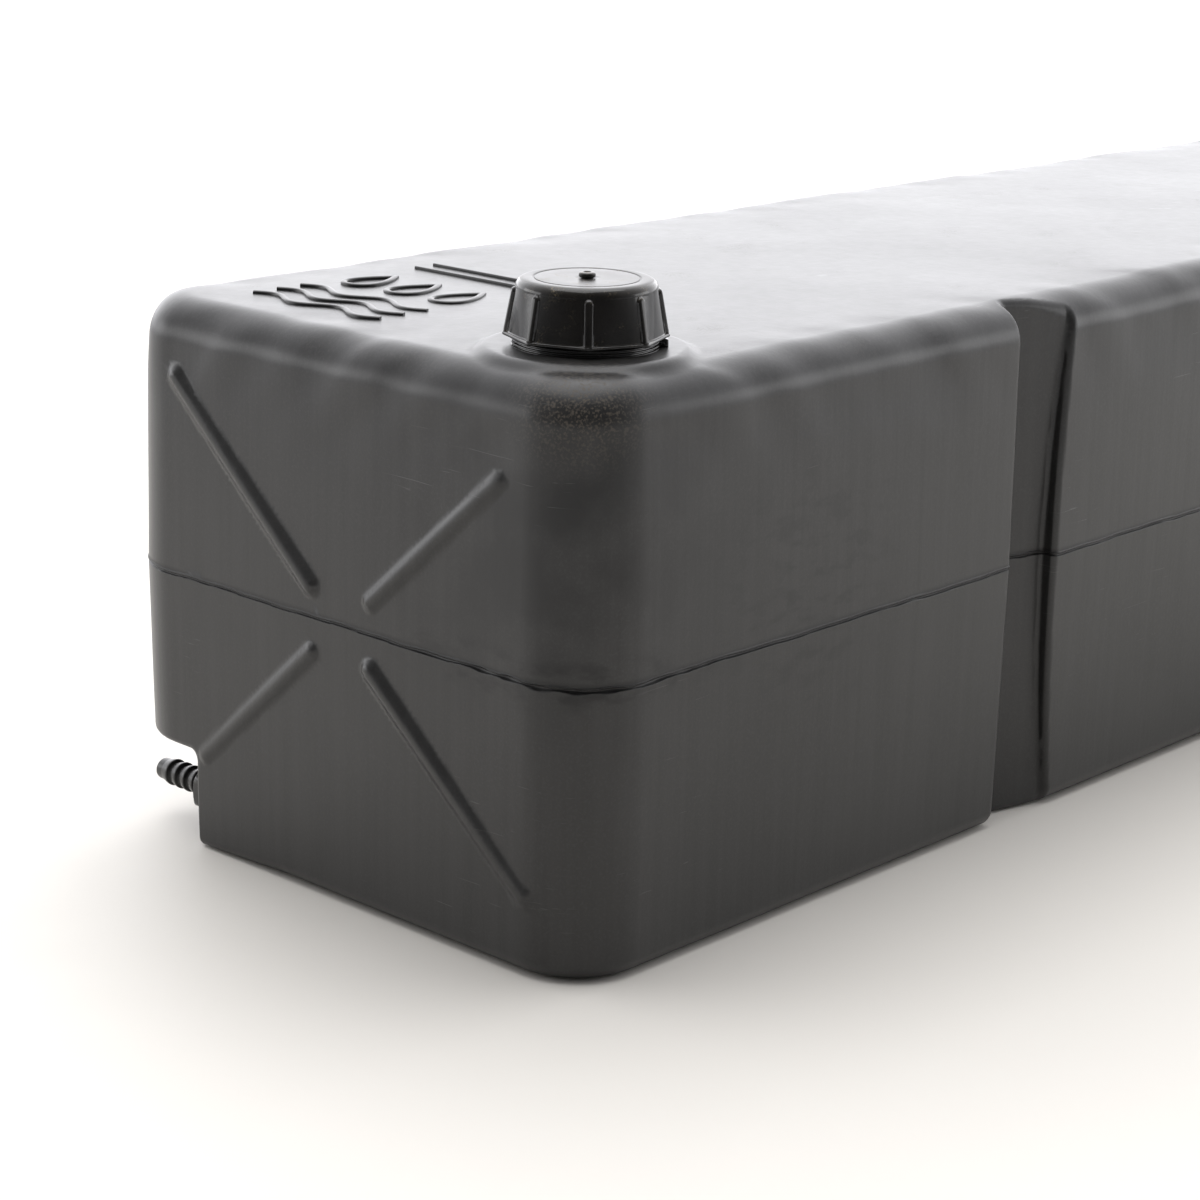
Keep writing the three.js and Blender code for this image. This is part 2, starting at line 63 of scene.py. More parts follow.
CRUMPLE = 1.6  # depth of the dents along the top edge
CRUMPLE_START = 64  # how far under the top the dents begin
CRUMPLE_RAMP = 56  # height over which they reach their full depth
CRUMPLE_REACH = 28  # how far in from the outline they fade
FOLD_SEED = 11
FOLD_COUNT = 11
FOLD_LENGTHS = (28, 120)
FOLD_SPREAD = 3.2  # how softly a dent ends

SKIN_INSET = 0.6  # the skin's distance inside the moulding line
FLASH = 0.32  # the thin ridge along the moulding line
FLASH_HALF_HEIGHT = 0.5
FLASH_WANDER = 0.45  # how far the line strays up and down
SCAR_DEPTH = 0.8  # the fine score line under the flash
SCAR_DROP = 1.1
SCAR_HALF_HEIGHT = 0.7
TORN_X = -490  # middle of the torn stretch, at the filler's corner
TORN_Y = -120
TORN_RADIUS = 75
TORN_WIDENING = 0.8  # how much taller the score line is there

CHANNEL_START = 291
CHANNEL_WIDTH = 35
CHANNEL_FLARE = 9
CHANNEL_DEPTH = 16
CHANNEL_SLOPE = 0.25
CHANNEL_FLOOR_RADIUS = 4
CHANNEL_CREASE = 1.6  # rounding between the floor and the far wall
CHANNEL_LIP = 3

END_RIB_Y = -5
END_RIB_Z = 128
END_RIB_INNER = (19, 15)
END_RIB_LONG = (110, 92)
END_RIB_SHORT = (94, 82)
END_RIB_RADIUS = (5.4, 3.4)  # of the long and of the short ribs
END_RIB_RISE = (2.9, 1.9)  # how far each stands out at its inner end
END_RIB_DROP = 1.2  # how much lower its outer end is
END_RIB_FILLET = (1.8, 2.6)

NOTCH_LENGTH = 110
NOTCH_WALL = 96
NOTCH_CEILING = 46
NOTCH_CORNER = 5
NOTCH_LIP = 1.8
NOTCH_CEILING_LIP = 3
NOTCH_LIP_RAMP = 16  # height under the ceiling over which the lip grows

FILLER_X = -438.5
FILLER_Y = -89.5
FILLER_HOLE = 28.3
PLATEAU_RISE = 1.5
PLATEAU_RADIUS = 43
PLATEAU_EDGE = 2
PLATEAU_FILLET = 6

OUTLET_X = -480
OUTLET_Z = 22
OUTLET_HOLE = 12.3
OUTLET_HOLE_DEPTH = 17.5
BOSS_RADIUS = 19
BOSS_DEPTH = 15

WAVE = 0.3  # swing of the skin's unevenness, always inward
SKIN_FACES = 146000  # triangles left on the outside of the tank

# ---- Emblem on the tank's top, in millimetres ----

EMBLEM_X = -396
EMBLEM_Y = 58
EMBLEM_RISE = 1
EMBLEM_LINE = 3
EMBLEM_LENGTH = 84
EMBLEM_WAVES = (-60, -46, -32)
EMBLEM_WAVE_HEIGHT = 4
EMBLEM_DROPS = (-29, 0, 29)
EMBLEM_DROP_FOOT = -16
EMBLEM_DROP_RADIUS = 10
EMBLEM_RULES = (40, 52)
EMBLEM_SINK = 1.6

# ---- Neck, cap and vent, in millimetres ----

NECK_BORE = 22.5
NECK_RADIUS = 26.6
NECK_TOP = 279.8
FLANGE_RADIUS = 33
FLANGE_FOOT = 245.2
FLANGE_TOP = 248.7
NECK_WAIST = 28  # where it passes through the tank's wall
COLLAR_RADIUS = 31
COLLAR_GROOVE_RADIUS = 29.6
COLLAR_FOOT = 255.8
COLLAR_TOP = 259.4
COLLAR_RINGS = 5  # ridges and grooves, counted together
COLLAR_RING_HEIGHT = 0.72
LUG_ANGLE = -47  # degrees round the neck
LUG_INNER = 29
LUG_OUTER = 34
LUG_HALF_WIDTH = 3
LUG_CORNER = 1.2

THREAD_PITCH = 6
THREAD_HALF_FOOT = 1.7  # half the ridge's height at the wall
THREAD_HALF_CREST = 1.0
THREAD_BURIED = 0.4  # how deep the ridge is sunk into its wall
THREAD_EDGE = 0.35
THREAD_STEPS = 72  # sections in one turn
THREAD_FADE = 9  # sections over which each end fades
NECK_THREAD_CREST = 28.3
NECK_THREAD_START = 263.4
NECK_THREAD_TURNS = 1.6
CAP_THREAD_CREST = 27.3
CAP_THREAD_START = 266.4
CAP_THREAD_TURNS = 1.3

RIBS = 8
RIB_PITCH = 2 * math.pi / RIBS
RIB_HALF_WIDTH = 1.9
RIB_ZONE = 2.6  # half the finely divided width round a rib
RIB_HEIGHT = 1.3
RIB_TOP = 280
RIM_RADIUS = 34.8
CAP_RIM = 260
CAP_FOOT = 32.9
CAP_FOOT_Z = 261.9
CAP_SHOULDER = 29.4
CAP_SHOULDER_Z = 280.2
CAP_TOP = 284.2
CAP_BORE = 29
CAP_BORE_TOP = 274
CROWN_RADIUS = 4
FACE_RADIUS = 22
SEAL_RADIUS = 26.6
SEAL_SEAT = 282.4
VENT_HOLE = 2.7  # in the cap
VENT_BORE = 1.5  # in the button
VENT_STEM_RADIUS = 2.4
VENT_STEM_FOOT = 280
BUTTON_RADIUS = 3.5
BUTTON_HEIGHT = 2
BUTTON_EDGE = 0.7

# ---- Outlet, in millimetres outwards from the recess's wall ----

HEX_ACROSS_FLATS = 22
HEX_CORNER_RADIUS = 12.45
HEX_CHAMFER_RISE = 1.9  # how fast the chamfers at both ends open
HEX_FACE_RADIUS = 9.2
HEX_START = 3.5
HEX_END = 11
HEX_BORE = 4.6
WATERWAY = 3.6
SHANK_RADIUS = 8
SHANK_START = -13
SHANK_END = 5
BARBS = 4
BARB_PITCH = 6.3
BARB_RADIUS = 6.4
STEM_RADIUS = 5
TIP_LENGTH = 4
TIP_RADIUS = 4.3
TIP_END = 46.5


# ---- Shape functions: negative inside, positive outside, in millimetres ----

def random_folds():
    """Waves of random direction and length, each as rates along x, y and z and a phase."""
    draw = np.random.default_rng(FOLD_SEED)
    folds = []
    for _ in range(FOLD_COUNT):
        way = draw.normal(size=3)
        rate = 2 * math.pi / draw.uniform(*FOLD_LENGTHS)
        folds.append((*(way / np.linalg.norm(way) * rate), draw.uniform(0, 2 * math.pi)))
    return folds


FOLDS = random_folds()


def rounded_max(a, b, radius):
    """Keeps what is inside both shapes, with the edge between them rounded."""
    inside = np.minimum(np.maximum(a, b), -radius)
    return inside + np.hypot(np.maximum(a + radius, 0), np.maximum(b + radius, 0))


def rounded_min(a, b, radius):
    """Joins two shapes with a fillet between them."""
    return -rounded_max(-a, -b, radius)


def lean(z):
    """How far the drafted sides lie inside the tank's overall size."""
    return SKIN_INSET + DRAFT * np.abs(z - PARTING)


def body_shape(x, y, z):
    """The drafted box with rounded corners and edges."""
    inset = lean(z)
    across_x = np.abs(x) - (LENGTH / 2 - inset)
    across_y = np.abs(y) - (WIDTH / 2 - inset)
    plan = rounded_max(across_x, across_y, CORNER)
    upright = np.abs(z - HEIGHT / 2) - HEIGHT / 2
    from_notch = np.hypot(x + LENGTH / 2, y - NOTCH_WALL) / FOOT_REACH
    beside_notch = np.clip(FOOT_HOLD - from_notch, 0, 1)
    bottom = BOTTOM_EDGE + (FOOT_EDGE - BOTTOM_EDGE) * beside_notch
    edge = np.where(z > HEIGHT / 2, TOP_EDGE, bottom)
    return rounded_max(plan, upright, edge) + dents(x, y, z, plan)


def dents(x, y, z, plan):
    """Shallow folds along the top edge, where the plastic shrank unevenly."""
    rise = np.clip((z - HEIGHT + CRUMPLE_START) / CRUMPLE_RAMP, 0, 1)
    share = rise * rise * (3 - 2 * rise) * np.exp(-(plan / CRUMPLE_REACH) ** 2)
    swing = 0
    for wave_x, wave_y, wave_z, phase in FOLDS:
        swing = swing + np.sin(wave_x * x + wave_y * y + wave_z * z + phase)
    return CRUMPLE * share * (0.5 + 0.5 * np.tanh(swing / FOLD_SPREAD))


def unevenness(x, y, z):
    """How far cooling has drawn the skin inward, from 0 to about twice the swing."""
    swell = np.sin(x / 47 + 1.3) * np.cos(y / 31 + z / 43)
    swell = swell + np.sin(x / 23 - z / 29) * np.cos(y / 37)
    ripple = np.sin(x / 13 + 0.7 * np.sin(y / 21) + z / 17) * np.cos(z / 19 - y / 15)
    return WAVE * (1 + 0.42 * swell + 0.14 * ripple)


def flash_shape(x, y, z):
    """The moulding line's height above the skin: a thin ridge over a score line, which is torn
    deeper near the filler's corner."""
    stray = 0.6 * np.sin(x / 17 + y / 13) + 0.4 * np.sin(x / 5.3 - y / 4.1)
    line = PARTING + FLASH_WANDER * stray
    near_corner = np.exp(-((x - TORN_X) ** 2 + (y - TORN_Y) ** 2) / TORN_RADIUS ** 2)
    torn = near_corner * (0.5 + 0.5 * np.sin(x / 2.9 - y / 3.7 + 2 * np.sin(x / 11 + y / 13)))
    above = (z - line) / FLASH_HALF_HEIGHT
    below = (z - line + SCAR_DROP) / (SCAR_HALF_HEIGHT + TORN_WIDENING * torn)
    ridge = FLASH * np.clip(1 - above * above, 0, 1)
    scar = SCAR_DEPTH * (1 + torn) * np.clip(1 - below * below, 0, 1)
    return ridge - scar


def channel_shape(x, y, z):
    """The four strap channels, mirrored into one quarter."""
    along = LENGTH / 2 - np.abs(x)
    depth = WIDTH / 2 - np.abs(y)
    share = (z - PARTING) / (HEIGHT / 2)
    end = CHANNEL_START + CHANNEL_WIDTH + CHANNEL_FLARE * share * share
    walls = np.maximum(CHANNEL_START - along, along - end)
    tilt = math.atan(CHANNEL_SLOPE)
    shallow = CHANNEL_DEPTH - CHANNEL_FLOOR_RADIUS * (1 - 1 / math.cos(tilt))
    rise = CHANNEL_SLOPE * (along - CHANNEL_START - CHANNEL_FLOOR_RADIUS)
    floor = (depth - shallow + rise) * math.cos(tilt)
    middle = CHANNEL_START + CHANNEL_WIDTH / 2
    radius = np.where(along < middle, CHANNEL_FLOOR_RADIUS, CHANNEL_CREASE)
    return rounded_max(walls, floor, radius)


def end_rib_shape(x, y, z, sign_y, sign_z):
    """One stiffening rib on each end face: a rod with round ends, sunk into the face."""
    short = int(sign_y != sign_z)
    radius = END_RIB_RADIUS[short]
    rise = END_RIB_RISE[short]
    reach = (END_RIB_LONG, END_RIB_SHORT)[short]
    places = []
    for (away_y, away_z), above in ((END_RIB_INNER, rise), (reach, rise - END_RIB_DROP)):
        height = END_RIB_Z + sign_z * away_z
        outward_x = LENGTH / 2 - lean(height) - radius + above
        places.append(np.array([outward_x, END_RIB_Y + sign_y * away_y, height]))
    start, stop = places
    run = stop - start
    length = np.linalg.norm(run)
    run = run / length
    offset = (np.abs(x) - start[0], y - start[1], z - start[2])
    along = np.clip(offset[0] * run[0] + offset[1] * run[1] + offset[2] * run[2], 0, length)
    apart = [offset[i] - along * run[i] for i in range(3)]
    return np.sqrt(apart[0] ** 2 + apart[1] ** 2 + apart[2] ** 2) - radius


def notch_shape(x, y, z):
    """The corner recess round the outlet."""
    back = x + LENGTH / 2 - NOTCH_LENGTH
    upper = rounded_max(NOTCH_WALL - y, z - NOTCH_CEILING, NOTCH_CORNER)
    return rounded_max(upper, back, NOTCH_CORNER)


def from_filler(points):
    return np.hypot(points[:, 0] - FILLER_X, points[:, 1] - FILLER_Y)


def from_outlet(points):
    return np.hypot(points[:, 0] - OUTLET_X, points[:, 2] - OUTLET_Z)


def plateau_shape(points):
    """The raised seat round the filler neck."""
    z = points[:, 2]
    apart = from_filler(points) - PLATEAU_RADIUS
    disc = rounded_max(apart, z - HEIGHT - PLATEAU_RISE, PLATEAU_EDGE)
    return np.maximum(disc, HEIGHT - 3 * WALL - z)


def dented_shape(points):
    """The tank's outside without the seat round the neck."""
    x, y, z = points.T
    shape = body_shape(x, y, z) + unevenness(x, y, z)
    shape = rounded_max(shape, -channel_shape(x, y, z), CHANNEL_LIP)
    for sign_y in (-1, 1):
        for sign_z in (-1, 1):
            fillet = END_RIB_FILLET[int(sign_y != sign_z)]
            shape = rounded_min(shape, end_rib_shape(x, y, z, sign_y, sign_z), fillet)
    ceiling = np.clip((z - NOTCH_CEILING + NOTCH_LIP_RAMP) / NOTCH_LIP_RAMP, 0, 1)
    lip = NOTCH_LIP + (NOTCH_CEILING_LIP - NOTCH_LIP) * ceiling
    shape = rounded_max(shape, -notch_shape(x, y, z), lip)
    return shape - flash_shape(x, y, z)


def skin_shape(points):
    """The tank's outside, with the filler hole and the outlet hole sunk into it."""
    y, z = points.T[1:]
    shape = rounded_min(dented_shape(points), plateau_shape(points), PLATEAU_FILLET)
    filler = np.maximum(from_filler(points) - FILLER_HOLE, HEIGHT - WALL / 2 - z)
    outlet = np.maximum(NOTCH_WALL - OUTLET_HOLE_DEPTH - y, y - WIDTH / 2)
    outlet = np.maximum(from_outlet(points) - OUTLET_HOLE, outlet)
    return np.maximum(np.maximum(shape, -filler), -outlet)


def cavity_shape(points):
    """The inside of the wall, with the boss behind the outlet left standing."""
    y, z = points.T[1:]
    boss = np.maximum(from_outlet(points) - BOSS_RADIUS, NOTCH_WALL - BOSS_DEPTH - y)
    bore = np.maximum(HEIGHT - 2 * WALL - z, z - HEIGHT + WALL / 2)
    bore = np.maximum(from_filler(points) - FILLER_HOLE, bore)
    hollow = np.maximum(dented_shape(points) + WALL, -boss)
    return np.minimum(hollow, bore)


# ---- Meshing a shape function ----

def graded_lines(low, high, coarse, growth, fine):
    """Grid lines from low to high: coarse apart, and closer in each (from, to, spacing) span."""
    lines = [low]
    while lines[-1] < high:
        here = lines[-1]
        step = coarse
        for start, stop, spacing in fine:
            away = max(start - here, here - stop, 0)
            step = min(step, spacing + growth * away)
        lines.append(here + step)
    return np.array(lines)


def surface_net(shape, xs, ys, zs):
    """One vertex in each grid cell that the surface passes through, and the quads between them."""
    flat_y, flat_z = (grid.ravel() for grid in np.meshgrid(ys, zs, indexing="ij"))
    values = np.empty((len(xs), len(ys), len(zs)))
    for i, x in enumerate(xs):
        slab = np.column_stack([np.full(flat_y.size, x), flat_y, flat_z])
        values[i] = shape(slab).reshape(len(ys), len(zs))
    inside = values < 0
    cells = tuple(size - 1 for size in inside.shape)
    corners = [(a, b, c) for a in (0, 1) for b in (0, 1) for c in (0, 1)]
    count = sum(
        inside[a:a + cells[0], b:b + cells[1], c:c + cells[2]].astype(np.int8)
        for a, b, c in corners
    )
    active = np.argwhere((count > 0) & (count < 8))
    number = np.full(cells, -1)
    number[tuple(active.T)] = np.arange(len(active))
    places = [np.asarray(lines) for lines in (xs, ys, zs)]

    total = np.zeros((len(active), 3))
    hits = np.zeros(len(active))
    for axis in range(3):
        for start in corners:
            if start[axis]:
                continue
            first = active + start
            second = first.copy()
            second[:, axis] += 1
            value_a = values[tuple(first.T)]
            value_b = values[tuple(second.T)]
            crossed = (value_a < 0) != (value_b < 0)
            share = np.where(crossed, value_a / np.where(crossed, value_a - value_b, 1), 0)
            for k in range(3):
                at_a = places[k][first[:, k]]
                at_b = places[k][second[:, k]]
                total[:, k] += np.where(crossed, at_a + share * (at_b - at_a), 0)
            hits += crossed
    vertices = total / hits[:, None]

    quads = []
    for axis in range(3):
        u, v = (axis + 1) % 3, (axis + 2) % 3
        lower = [slice(None)] * 3
        upper = [slice(None)] * 3
        lower[axis] = slice(0, -1)
        upper[axis] = slice(1, None)
        edges = np.argwhere(inside[tuple(lower)] != inside[tuple(upper)])
        kept = (edges[:, u] > 0) & (edges[:, v] > 0)
        kept &= (edges[:, u] < cells[u]) & (edges[:, v] < cells[v])
        edges = edges[kept]
        leaving = inside[tuple(edges.T)]
        step_u = np.eye(3, dtype=int)[u]
        step_v = np.eye(3, dtype=int)[v]
        ring = [edges - step_u - step_v, edges - step_v, edges, edges - step_u]
        faces = np.column_stack([number[tuple(cell.T)] for cell in ring])
        faces[~leaving] = faces[~leaving][:, ::-1]
        quads.append(faces)
    return vertices, np.concatenate(quads)


def gradient(shape, points, step=0.04):
    """Direction in which the shape function grows, from four samples round each point."""
    ways = np.array([[1, -1, -1], [-1, -1, 1], [-1, 1, -1], [1, 1, 1]], dtype=float)
    total = np.zeros_like(points)
    for way in ways:
        total += shape(points + step * way)[:, None] * way
    return total / (4 * step)


def unit(vectors):
    """The same directions, each one long."""
    return vectors / np.maximum(np.linalg.norm(vectors, axis=1), 1e-6)[:, None]


def settle(shape, points, rounds, limit):
    """Moves points onto the surface, by at most limit each round."""
    for _ in range(rounds):
        slope = gradient(shape, points)
        size = np.maximum((slope ** 2).sum(axis=1), 0.05)
        move = -(shape(points) / size)[:, None] * slope
        length = np.linalg.norm(move, axis=1)
        move *= np.minimum(1, limit / np.maximum(length, 1e-9))[:, None]
        points = points + move
    return points


# ---- Blender mesh helpers ----

def new_object(name, mesh, material):
    piece = bpy.data.objects.new(name, mesh)
    bpy.context.collection.objects.link(piece)
    mesh.materials.append(material)
    return piece


MOST_CUT = 0.42  # the most of a profile's side that one softened corner takes


class Builder:
    """Collects the vertices and faces of one piece, in millimetres."""

    def __init__(self):
        self.vertices = []
        self.faces = []

    def grid(self, rows, closed_rows):
        """Joins rows of equally many points, each row a closed ring."""
        base = len(self.vertices)
        count = len(rows[0])
        for row in rows:
            self.vertices.extend(row)
        last = len(rows) if closed_rows else len(rows) - 1
        for i in range(last):
            above = (i + 1) % len(rows)
            for j in range(count):
                side = (j + 1) % count
                self.faces.append((
                    base + i * count + j,
                    base + i * count + side,
                    base + above * count + side,
                    base + above * count + j,
                ))

    def close(self, row, reverse):
        """Fills a ring of points with one flat face."""
        base = len(self.vertices)
        self.vertices.extend(row)
        face = list(range(base, base + len(row)))
        self.faces.append(tuple(reversed(face)) if reverse else tuple(face))

    def bar(self, rows):
        """Joins rows, and closes the first and the last."""
        self.grid(rows, False)
        self.close(rows[0], True)
        self.close(rows[-1], False)

    def finish(self, name, material, shift=(0, 0, 0), sharp=40):
        vertices = (np.array(self.vertices) + np.array(shift)) * MM
        mesh = bpy.data.meshes.new(name)
        mesh.from_pydata(vertices.tolist(), [], self.faces)
        bm = bmesh.new()
        bm.from_mesh(mesh)
        bmesh.ops.remove_doubles(bm, verts=bm.verts, dist=0.002 * MM)
        bmesh.ops.recalc_face_normals(bm, faces=bm.faces)
        bm.to_mesh(mesh)
        bm.free()
        mesh.polygons.foreach_set("use_smooth", [True] * len(mesh.polygons))
        mesh.set_sharp_from_angle(angle=math.radians(sharp))
        return new_object(name, mesh, material)


def soften(profile, radius, steps=3):
    """Replaces each corner of a closed profile with a small curve."""
    points = [np.array(point, dtype=float) for point in profile]
    smooth = []
    for i, corner in enumerate(points):
        before = points[i - 1] - corner
        after = points[(i + 1) % len(points)] - corner
        cut_before = min(radius, MOST_CUT * np.linalg.norm(before))
        cut_after = min(radius, MOST_CUT * np.linalg.norm(after))
        start = corner + before / np.linalg.norm(before) * cut_before
        stop = corner + after / np.linalg.norm(after) * cut_after
        for step in range(steps + 1):
            share = step / steps
            near_ends = (1 - share) ** 2 * start + share ** 2 * stop
            smooth.append(near_ends + 2 * share * (1 - share) * corner)
    return smooth


def upright(radius, height, angle):
    """A point of a body turned about a vertical axis."""
    return (radius * math.cos(angle), radius * math.sin(angle), height)


def outward(radius, distance, angle):
    """A point of a body turned about the outlet's axis, which runs along +Y."""
    return (radius * math.sin(angle), distance, radius * math.cos(angle))


def full_turn(count):
    """Angles of one whole turn, evenly spaced."""
    return [2 * math.pi * k / count for k in range(count)]


def revolve(builder, profile, segments, point_at):
    """A ring turned from a closed profile of (radius, distance along the axis) pairs."""
    turns = full_turn(segments)
    rows = [[point_at(r, h, turn) for turn in turns] for r, h in profile]
    builder.grid(rows, True)


def thread_ridge(builder, wall, crest, start, turns):
    """A helical ridge on a cylinder wall, fading in and out at its ends."""
    steps = round(turns * THREAD_STEPS)
    buried = wall - THREAD_BURIED * math.copysign(1, crest - wall)
    foot, flat = THREAD_HALF_FOOT, THREAD_HALF_CREST
    rows = []
    for step in range(steps + 1):
        angle = 2 * math.pi * step / THREAD_STEPS
        middle = start + THREAD_PITCH * step / THREAD_STEPS
        taper = min(step, steps - step, THREAD_FADE) / THREAD_FADE
        top = wall + (crest - wall) * (0.1 + 0.9 * math.sin(taper * math.pi / 2))
        section = [
            (buried, -foot - 0.1), (wall, -foot), (top, -flat),
            (top, flat), (wall, foot), (buried, foot + 0.1),
        ]
        section = soften(section, THREAD_EDGE, steps=2)
        rows.append([upright(r, middle + h, angle) for r, h in section])
    builder.bar(rows)


# ---- Procedural materials ----

class Nodes:
    """A short way to write a material's node tree."""

    def __init__(self, name):
        self.material = bpy.data.materials.new(name)
        self.material.use_nodes = True
        self.tree = self.material.node_tree
        self.shader = self.tree.nodes["Principled BSDF"]
        self.place = self.add("TexCoord").outputs["Object"]

    def link(self, source, target):
        self.tree.links.new(source, target)

    def value(self, target, item):
        """Sets a socket to a number or colour, or links it to another socket."""
        if isinstance(item, bpy.types.NodeSocket):
            self.link(item, target)
        else:
            target.default_value = item

    def set_all(self, node, sockets):
        """Sets a node's sockets, each named with _ for a space."""
        for name, item in sockets.items():
            self.value(node.inputs[name.replace("_", " ")], item)

    def add(self, kind, **sockets):
        node = self.tree.nodes.new("ShaderNode" + kind)
        self.set_all(node, sockets)
        return node

    def stretched(self, scale):
        """The object's coordinates, each multiplied by its own factor."""
        return self.add("Mapping", Vector=self.place, Scale=scale).outputs["Vector"]

    def noise(self, scale, detail, stretch=(1, 1, 1), distortion=0.0):
        node = self.add("TexNoise", Scale=scale, Detail=detail, Distortion=distortion,
                        Vector=self.stretched(stretch))
        return node.outputs["Fac"]

    def math(self, operation, first, second=0.0, third=0.0, clamp=False):
        node = self.add("Math")
        node.operation = operation
        node.use_clamp = clamp
        for socket, item in zip(node.inputs, (first, second, third)):
            self.value(socket, item)
        return node.outputs[0]

    def times(self, *factors):
        product = factors[0]
        for factor in factors[1:]:
            product = self.math("MULTIPLY", product, factor)
        return product

    def plus(self, first, second, clamp=False):
        return self.math("ADD", first, second, clamp=clamp)

    def ramp(self, source, low, high, from_value=0.0, to_value=1.0):
        """Maps low..high smoothly to from_value..to_value."""
        node = self.add("MapRange", Value=source, From_Min=low, From_Max=high,
                        To_Min=from_value, To_Max=to_value)
        node.interpolation_type = "SMOOTHSTEP"
        return node.outputs["Result"]

    def mix(self, share, first, second):
        node = self.add("Mix")
        node.data_type = "RGBA"
        self.set_all(node, {"Factor": share, "A": first, "B": second})
        return node.outputs["Result"]

    def axes(self, source=None):
        """X, Y and Z of a vector, or of the place on the object."""
        return self.add("SeparateXYZ", Vector=source or self.place).outputs

    def normal(self):
        return self.axes(self.add("TexCoord").outputs["Normal"])

    def distance(self, centre):
        node = self.add("VectorMath")
        node.operation = "DISTANCE"
        self.link(self.place, node.inputs[0])
        node.inputs[1].default_value = centre
        return node.outputs["Value"]

    def near(self, centre, radius):
        """1 at a place, falling to 0 at the radius round it."""
        return self.ramp(self.distance(centre), radius, 0.0)

    def bump(self, height, distance, strength, under=None):
        node = self.add("Bump", Strength=strength, Distance=distance, Height=height)
        if under is not None:
            self.link(under, node.inputs["Normal"])
        return node.outputs["Normal"]

    def surface(self, **sockets):
        self.set_all(self.shader, sockets)
        return self.material


# Where the tank is marked or painted with shade, in metres.
SHADE_AND_GRIME_AT = (-0.5, -0.125, 0.19)
TORN_LINE_SHADOW_AT = (-0.49, -0.125, PARTING * MM)
SIDE_SCUFF_AT = (-0.36, -0.15, 0.15)
RIB_END_SHADE_AT = (-0.4985, -0.099, 0.2105)
CORNER_DUST_AT = (-0.488, -0.134, 0.251)

NO_MATT_TOP = 10  # metres, above anything here


def shade(level, warm=0.0):
    """A grey, a little warm or cool."""
    return (level * (1 + warm), level, level * (1 - warm), 1)


def tank_plastic():
    """Dark grey rotomoulded polyethylene: faint mould streaks, painted shadow along the moulding
    line and painted shade in patches, grime, scuffs on the side, and dust at the corner near the
    filler."""
    n = Nodes("tank_plastic")
    height = n.axes()[2]
    cloud = n.noise(7, 4)
    streak = n.noise(1, 3, stretch=(170, 170, 5))
    grain = n.noise(900, 2)
    tone = n.plus(n.times(cloud, 0.55), n.times(streak, 0.45))
    colour = n.mix(n.ramp(tone, 0.3, 0.7), shade(0.017, 0.02), shade(0.028, 0.02))
    colour = n.mix(n.times(n.ramp(grain, 0.45, 0.75), 0.3), colour, shade(0.045))
    # Dark patches near the upper corner of the end face: partly grime, partly painted shade
    # standing in for uneven reflection.
    grime_and_painted_shade = n.times(n.near(SHADE_AND_GRIME_AT, 0.13), n.ramp(n.noise(22, 5), 0.36, 0.60))
    colour = n.mix(n.times(grime_and_painted_shade, 0.85), colour, shade(0.007))

    from_line = n.math("ABSOLUTE", n.math("SUBTRACT", height, PARTING * MM))
    # A thin dark band painted along the moulding line: painted shadow under the flash ridge.
    line_shadow = n.times(n.ramp(from_line, 0.0025, 0.0006), 0.75)
    blotch = n.ramp(n.noise(60, 5, stretch=(1, 1, 2.2)), 0.48, 0.66)
    band = n.ramp(from_line, 0.016, 0.002)
    # Painted shadow, nearly black, under the torn moulding line near the filler's corner.
    torn_line_shadow = n.times(n.near(TORN_LINE_SHADOW_AT, 0.12), band, blotch)
    side_scuff = n.times(n.near(SIDE_SCUFF_AT, 0.09), blotch, 0.5)
    # A small spot of painted shade at the outer end of the upper short rib on the end face.
    rib_end_shade = n.near(RIB_END_SHADE_AT, 0.0045)
    # Scuffs on the side together with the painted shadows and shade above, all darkening the
    # colour.
    scuff_and_painted_shadow = line_shadow
    for mark in (torn_line_shadow, side_scuff, rib_end_shade):
        scuff_and_painted_shadow = n.math("MAXIMUM", scuff_and_painted_shadow, mark)
    colour = n.mix(scuff_and_painted_shadow, colour, shade(0.006))

    scratch = n.ramp(n.noise(1, 2, stretch=(35, 35, 900), distortion=0.6), 0.70, 0.76)
    scratch = n.times(scratch, n.ramp(n.noise(9, 2), 0.5, 0.62))
    colour = n.mix(n.times(scratch, 0.35), colour, shade(0.13))

    up = n.normal()[2]
    speck = n.ramp(n.noise(900, 4), 0.46, 0.66)
    corner_dust = n.times(n.near(CORNER_DUST_AT, 0.042), 1.1)
    settled = n.times(n.ramp(up, 0.25, 0.9), n.ramp(n.noise(38, 5), 0.55, 0.8), 0.3)
    dust = n.math("MULTIPLY", n.math("MAXIMUM", corner_dust, settled), speck, clamp=True)
    colour = n.mix(n.times(dust, 0.45), colour, (0.16, 0.13, 0.095, 1))

    rough = n.math("MULTIPLY_ADD", cloud, 0.10, 0.25)
    rough = n.plus(rough, n.times(grime_and_painted_shade, 0.08))
    rough = n.plus(rough, n.times(streak, 0.06))
    rough = n.plus(rough, n.times(scuff_and_painted_shadow, 0.15))
    rough = n.plus(rough, n.times(dust, 0.3), clamp=True)

    dimple = n.bump(n.noise(28, 2), 0.0004, 0.5)
    peel = n.bump(n.noise(420, 2), 0.00006, 0.5, dimple)
    drawn = n.bump(n.noise(1, 2, stretch=(260, 260, 7)), 0.00008, 0.5, peel)
    scored = n.bump(scratch, 0.00006, 0.6, drawn)
    return n.surface(Base_Color=colour, Roughness=rough, Normal=scored, IOR=1.47)


